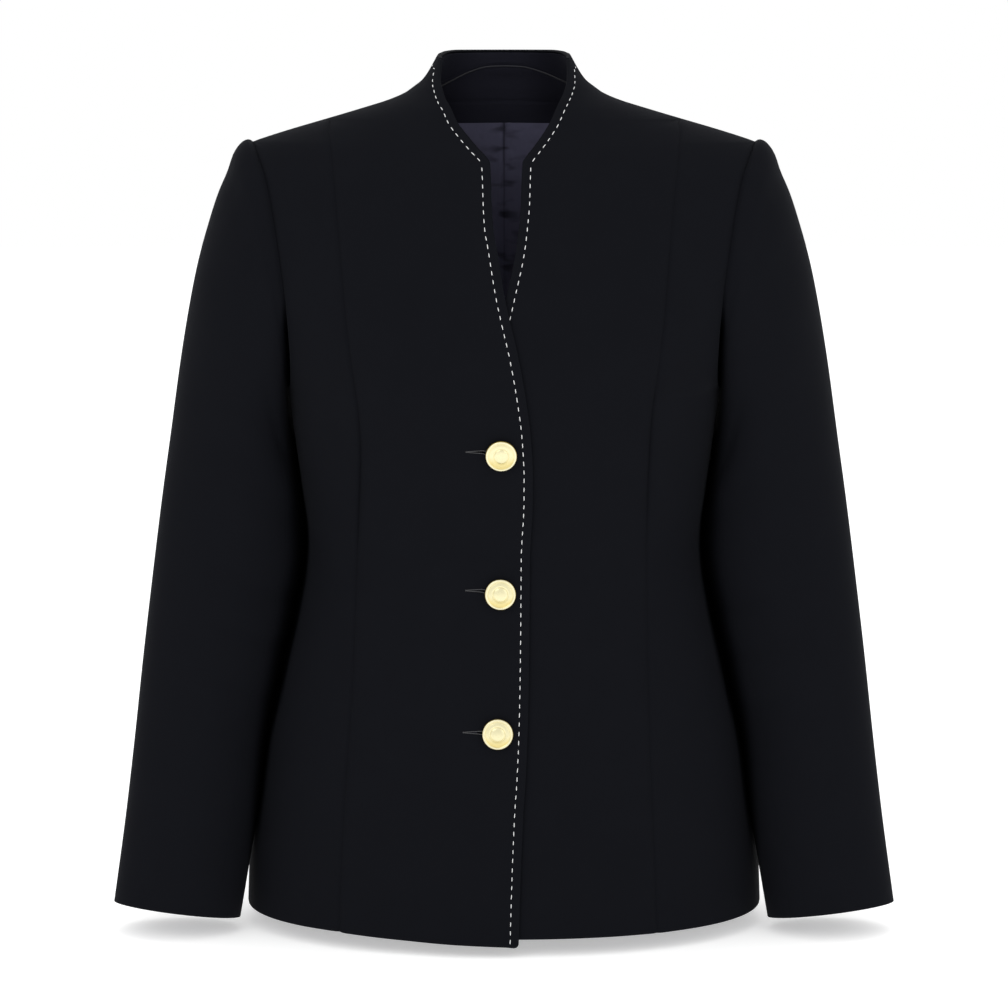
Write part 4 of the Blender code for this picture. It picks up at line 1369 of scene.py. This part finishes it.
def stitch(middle, tangent, normal, length, width):
    """One pick stitch: a short thread that rises from the cloth and sinks back into it."""
    share = np.linspace(0, 1, 9)
    body = np.sin(np.pi * share)
    along, above = (share - 0.5)[:, None] * length, (0.42 * body - 0.22)[:, None]
    line = middle + along * tangent + above * normal
    radii = width / 2 * (0.45 + 0.55 * body**0.5)
    across, up = (np.broadcast_to(v, line.shape) for v in (np.cross(tangent, normal), normal))
    return swept(line, across, up, radii, sides=7, flat=0.75)


def edge_line(side, inset):
    """Points on a front's outside that run a steady distance inside its edge, in two runs.

    The first runs from the hem to the notch, the second from the notch round to centre back.
    """
    runs = []
    foot = HEM + 4 - (LAP_DROP if side == RIGHT else 0)
    for low, high in ((foot, NOTCH - 0.8), (NOTCH + 3.2, 21.5)):
        height = np.linspace(low, high, 400)
        edge_points = on_front(side * FRONT_EDGE_AT[side_word(side)](height), height)
        tangent = np.gradient(edge_points, axis=0)
        tangent /= lengths(tangent)
        inward = np.cross(tangent, outward(edge_points)) * side
        moved = edge_points + inset * inward
        points = on_front(moved[:, 0], moved[:, 2])
        if side == RIGHT:
            drop = lap_drop(points[:, 2])
            points = points + lap_lift(points)[:, None] * outward(points)
            keep = points[:, 2] > HEM + 1
            points, drop = points[keep], drop[keep]
            points[:, 2] -= 0.9 * drop
        runs.append(points)
    return runs


def pick_stitches(side, looks):
    """The white hand stitches along a front, its notch and half of the back collar."""
    parts = []
    runs = edge_line(side, looks.stitch_inset)
    collar_end = runs[1][-1]
    start_turn = float(turn_at(abs(collar_end[0]), collar_end[2]))
    turn = np.linspace(start_turn, 180, 300)
    share = ease(turn, start_turn, start_turn + 22)
    height = level_height(COLLAR_TOP - looks.stitch_inset, turn)
    height = height + (1 - share) * (collar_end[2] - height[0])
    runs[1] = np.concatenate([runs[1][:-1], form_points(side, turn, height)])
    rng = np.random.default_rng(7 if side == RIGHT else 11)
    for line in runs:
        run = run_along(line)
        count = int(run[-1] / looks.stitch_pitch)
        pitch = run[-1] / count
        for i in range(count):
            at = (i + 0.5) * pitch + rng.uniform(-0.25, 0.25)
            near = [[np.interp(s, run, line[:, k]) for k in range(3)] for s in (at - 1, at, at + 1)]
            behind, point, ahead = np.array(near)
            normal = outward(point[None])[0]
            tangent = ahead - behind
            tangent -= tangent @ normal * normal
            tangent /= np.linalg.norm(tangent)
            tangent += rng.uniform(-0.05, 0.05) * np.cross(tangent, normal)
            length = looks.stitch_length * rng.uniform(0.92, 1.08)
            parts.append(stitch(point, tangent, normal, length, looks.stitch_width))
    joined(f"pick_stitches_{side_word(side)}", parts, finish("thread"))


# ---------------------------------------------------------------- the studio
def area_light(name, place, aim, size, power):
    light = bpy.data.lights.new(name, "AREA")
    light.shape = "DISK"
    light.size = size
    light.energy = power
    lamp = new_object(name, light)
    lamp.location = place
    lamp.rotation_euler = (Vector(aim) - Vector(place)).to_track_quat("-Z", "Y").to_euler()


def studio(looks):
    """White room light, soft lamps, a white floor just under the hem, and the camera."""
    scene = bpy.context.scene
    scene.view_settings.view_transform = "Standard"
    scene.view_settings.look = "None"
    world = bpy.data.worlds.new("studio")
    world.use_nodes = True
    background = world.node_tree.nodes["Background"]
    background.inputs["Color"].default_value = (1, 1, 1, 1)
    background.inputs["Strength"].default_value = looks.room_light
    scene.world = world
    for name, place, aim, size, share in LAMPS:
        area_light(name, place, aim, size, looks.key_power * share)

    mesh = bpy.data.meshes.new("floor")
    form = bmesh.new()
    bmesh.ops.create_circle(form, cap_ends=True, radius=looks.floor_radius, segments=96)
    form.to_mesh(mesh)
    form.free()
    mesh.materials.append(finish("floor"))
    floor = new_object("floor", mesh)
    floor.location = (0, 0, looks.floor_height)

    camera = bpy.data.cameras.new("camera")
    camera.lens = LENS
    camera.sensor_width = SENSOR
    camera.clip_end = CLIP_END
    eye = new_object("camera", camera)
    eye.location = EYE
    eye.rotation_euler = (math.radians(EYE_TILT), 0, 0)
    scene.camera = eye


# ---------------------------------------------------------------- the add-on
def colour(name, description, default):
    return bpy.props.FloatVectorProperty(
        name=name, description=description, default=default, subtype="COLOR", min=0.0, max=1.0
    )


def number(name, description, default, low=-FAR, high=FAR, **options):
    limits = {"min": low, "max": high}
    return bpy.props.FloatProperty(
        name=name, description=description, default=default, **limits, **options
    )


class JacketLooks(bpy.types.PropertyGroup):
    """Sizes (mm unless the unit says otherwise) and colours of the jacket's finish."""

    wool_colour: colour("Wool", "Dark tone of the wool twill", (0.0042, 0.0045, 0.0060))
    # Strength of the painted shade that the cloth's shade channel puts beside the sleeves, in seam
    # grooves and inside the neck.
    crease_shade: number("Crease shade", "Darkening where sleeve and body rub", 0.98, 0.0, 1.0)
    # Painted light: how many times lighter the facing's wool is painted than the wool outside.
    facing_painted_lift: number("Facing lift", "How much lighter the facing's wool is", 3.6, 0.5, 4.0)
    lining_colour: colour("Lining", "Dark tone of the satin lining", (0.106, 0.103, 0.163))
    # This also sets how dark the painted shade in those troughs is.
    lining_puckers: number("Lining puckers", "Strength of the troughs at its seam", 0.85, 0.0)
    thread_colour: colour("Thread", "Pick stitching", (0.80, 0.80, 0.80))
    # Painted highlight: the cord's colour is lighter than the wool, standing in for the light along
    # the seam.
    neck_cord_colour: colour("Neck cord", "Cord in the neck's inner seam", (0.0125, 0.0128, 0.0180))
    buttonhole_colour: colour("Buttonholes", "Their corded edge", (0.055, 0.055, 0.058))
    gilt_colour: colour("Gilt", "Metal of the buttons", (0.765, 0.715, 0.46))
    twill_pitch: number("Twill pitch", "From rib to rib", 0.00055, unit="LENGTH", precision=5)
    seam_depth: number("Seam depth", "How far a seam pulls the cloth in, mm", 0.9, 0.0, 2.0)
    stitch_pitch: number("Stitch pitch", "Distance between two pick stitches, mm", 6.7, 2.0, 20.0)
    stitch_length: number("Stitch length", "Visible length of a pick stitch, mm", 3.8, 1.0, 10.0)
    stitch_width: number("Stitch width", "Thickness of a pick stitch, mm", 0.6, 0.2, 3.0)
    stitch_inset: number("Stitch inset", "Distance from edge to stitches, mm", 6.4, 1.0, 20.0)
    room_light: number("Room light", "Strength of the white room", 1.0, 0.0, 5.0)
    key_power: number("Lamp power", "Power of the main lamp", 10.0, 0.0, unit="POWER")
    floor_height: number("Floor height", "Height of the floor", -0.6345, unit="LENGTH", precision=4)
    floor_radius: number("Floor radius", "Radius of the studio floor", 9.0, unit="LENGTH")


class JACKET_OT_stage(bpy.types.Operator):
    """Set up the studio floor, lights and camera"""

    bl_idname = "jacket.stage"
    bl_label = "Studio"

    def execute(self, context):
        studio(context.scene.jacket_looks)
        return {"FINISHED"}


class JACKET_OT_fronts(bpy.types.Operator):
    """Build the four front panels, with the collar's front parts"""

    bl_idname = "jacket.fronts"
    bl_label = "Fronts"

    def execute(self, context):
        for side in (RIGHT, LEFT):
            front_centre(side, context.scene.jacket_looks)
            front_side(side, context.scene.jacket_looks)
        return {"FINISHED"}


class JACKET_OT_backs(bpy.types.Operator):
    """Build the two back panels"""

    bl_idname = "jacket.backs"
    bl_label = "Backs"

    def execute(self, context):
        for side in (RIGHT, LEFT):
            back_panel(side, context.scene.jacket_looks)
        return {"FINISHED"}


class JACKET_OT_collar(bpy.types.Operator):
    """Build the back collar, its inner layer, the neck facing and their seams"""

    bl_idname = "jacket.collar"
    bl_label = "Collar and facings"

    def execute(self, context):
        collar_back(context.scene.jacket_looks)
        for make in (collar_facing, back_neck_facing, neck_ridge, collar_roll):
            make()
        return {"FINISHED"}


class JACKET_OT_lining(bpy.types.Operator):
    """Build the satin back lining"""

    bl_idname = "jacket.lining"
    bl_label = "Lining"

    def execute(self, context):
        for side in (RIGHT, LEFT):
            lining_back(side)
        return {"FINISHED"}


class JACKET_OT_sleeves(bpy.types.Operator):
    """Build the two-piece sleeves"""

    bl_idname = "jacket.sleeves"
    bl_label = "Sleeves"

    def execute(self, context):
        for side in (RIGHT, LEFT):
            for part in ("top", "under"):
                sleeve(side, part, context.scene.jacket_looks)
        return {"FINISHED"}


class JACKET_OT_fastening(bpy.types.Operator):
    """Build the buttons and the corded buttonholes"""

    bl_idname = "jacket.fastening"
    bl_label = "Buttons and buttonholes"

    def execute(self, context):
        for place in BUTTON_HEIGHTS:
            button(place)
        buttonhole_cords()
        return {"FINISHED"}


class JACKET_OT_stitches(bpy.types.Operator):
    """Sew the pick stitches along the front edges and the collar"""

    bl_idname = "jacket.stitches"
    bl_label = "Pick stitches"

    def execute(self, context):
        for side in (RIGHT, LEFT):
            pick_stitches(side, context.scene.jacket_looks)
        return {"FINISHED"}


OPERATORS = (
    JACKET_OT_stage,
    JACKET_OT_fronts,
    JACKET_OT_backs,
    JACKET_OT_collar,
    JACKET_OT_lining,
    JACKET_OT_sleeves,
    JACKET_OT_fastening,
    JACKET_OT_stitches,
)


class JACKET_PT_panel(bpy.types.Panel):
    """The jacket's sizes, colours and building steps"""

    bl_idname = "JACKET_PT_panel"
    bl_label = "Suit jacket"
    bl_space_type = "VIEW_3D"
    bl_region_type = "UI"
    bl_category = "Suit jacket"

    def draw(self, context):
        looks = context.scene.jacket_looks
        for name in JacketLooks.__annotations__:
            self.layout.prop(looks, name)
        for operator in OPERATORS:
            self.layout.operator(operator.bl_idname)


def register():
    for kind in (JacketLooks, *OPERATORS, JACKET_PT_panel):
        bpy.utils.register_class(kind)
    bpy.types.Scene.jacket_looks = bpy.props.PointerProperty(type=JacketLooks)


def unregister():
    del bpy.types.Scene.jacket_looks
    for kind in (JACKET_PT_panel, *reversed(OPERATORS), JacketLooks):
        bpy.utils.unregister_class(kind)


def main():
    register()
    for operator in OPERATORS:
        group, name = operator.bl_idname.split(".")
        getattr(getattr(bpy.ops, group), name)()


if __name__ == "__main__":
    main()
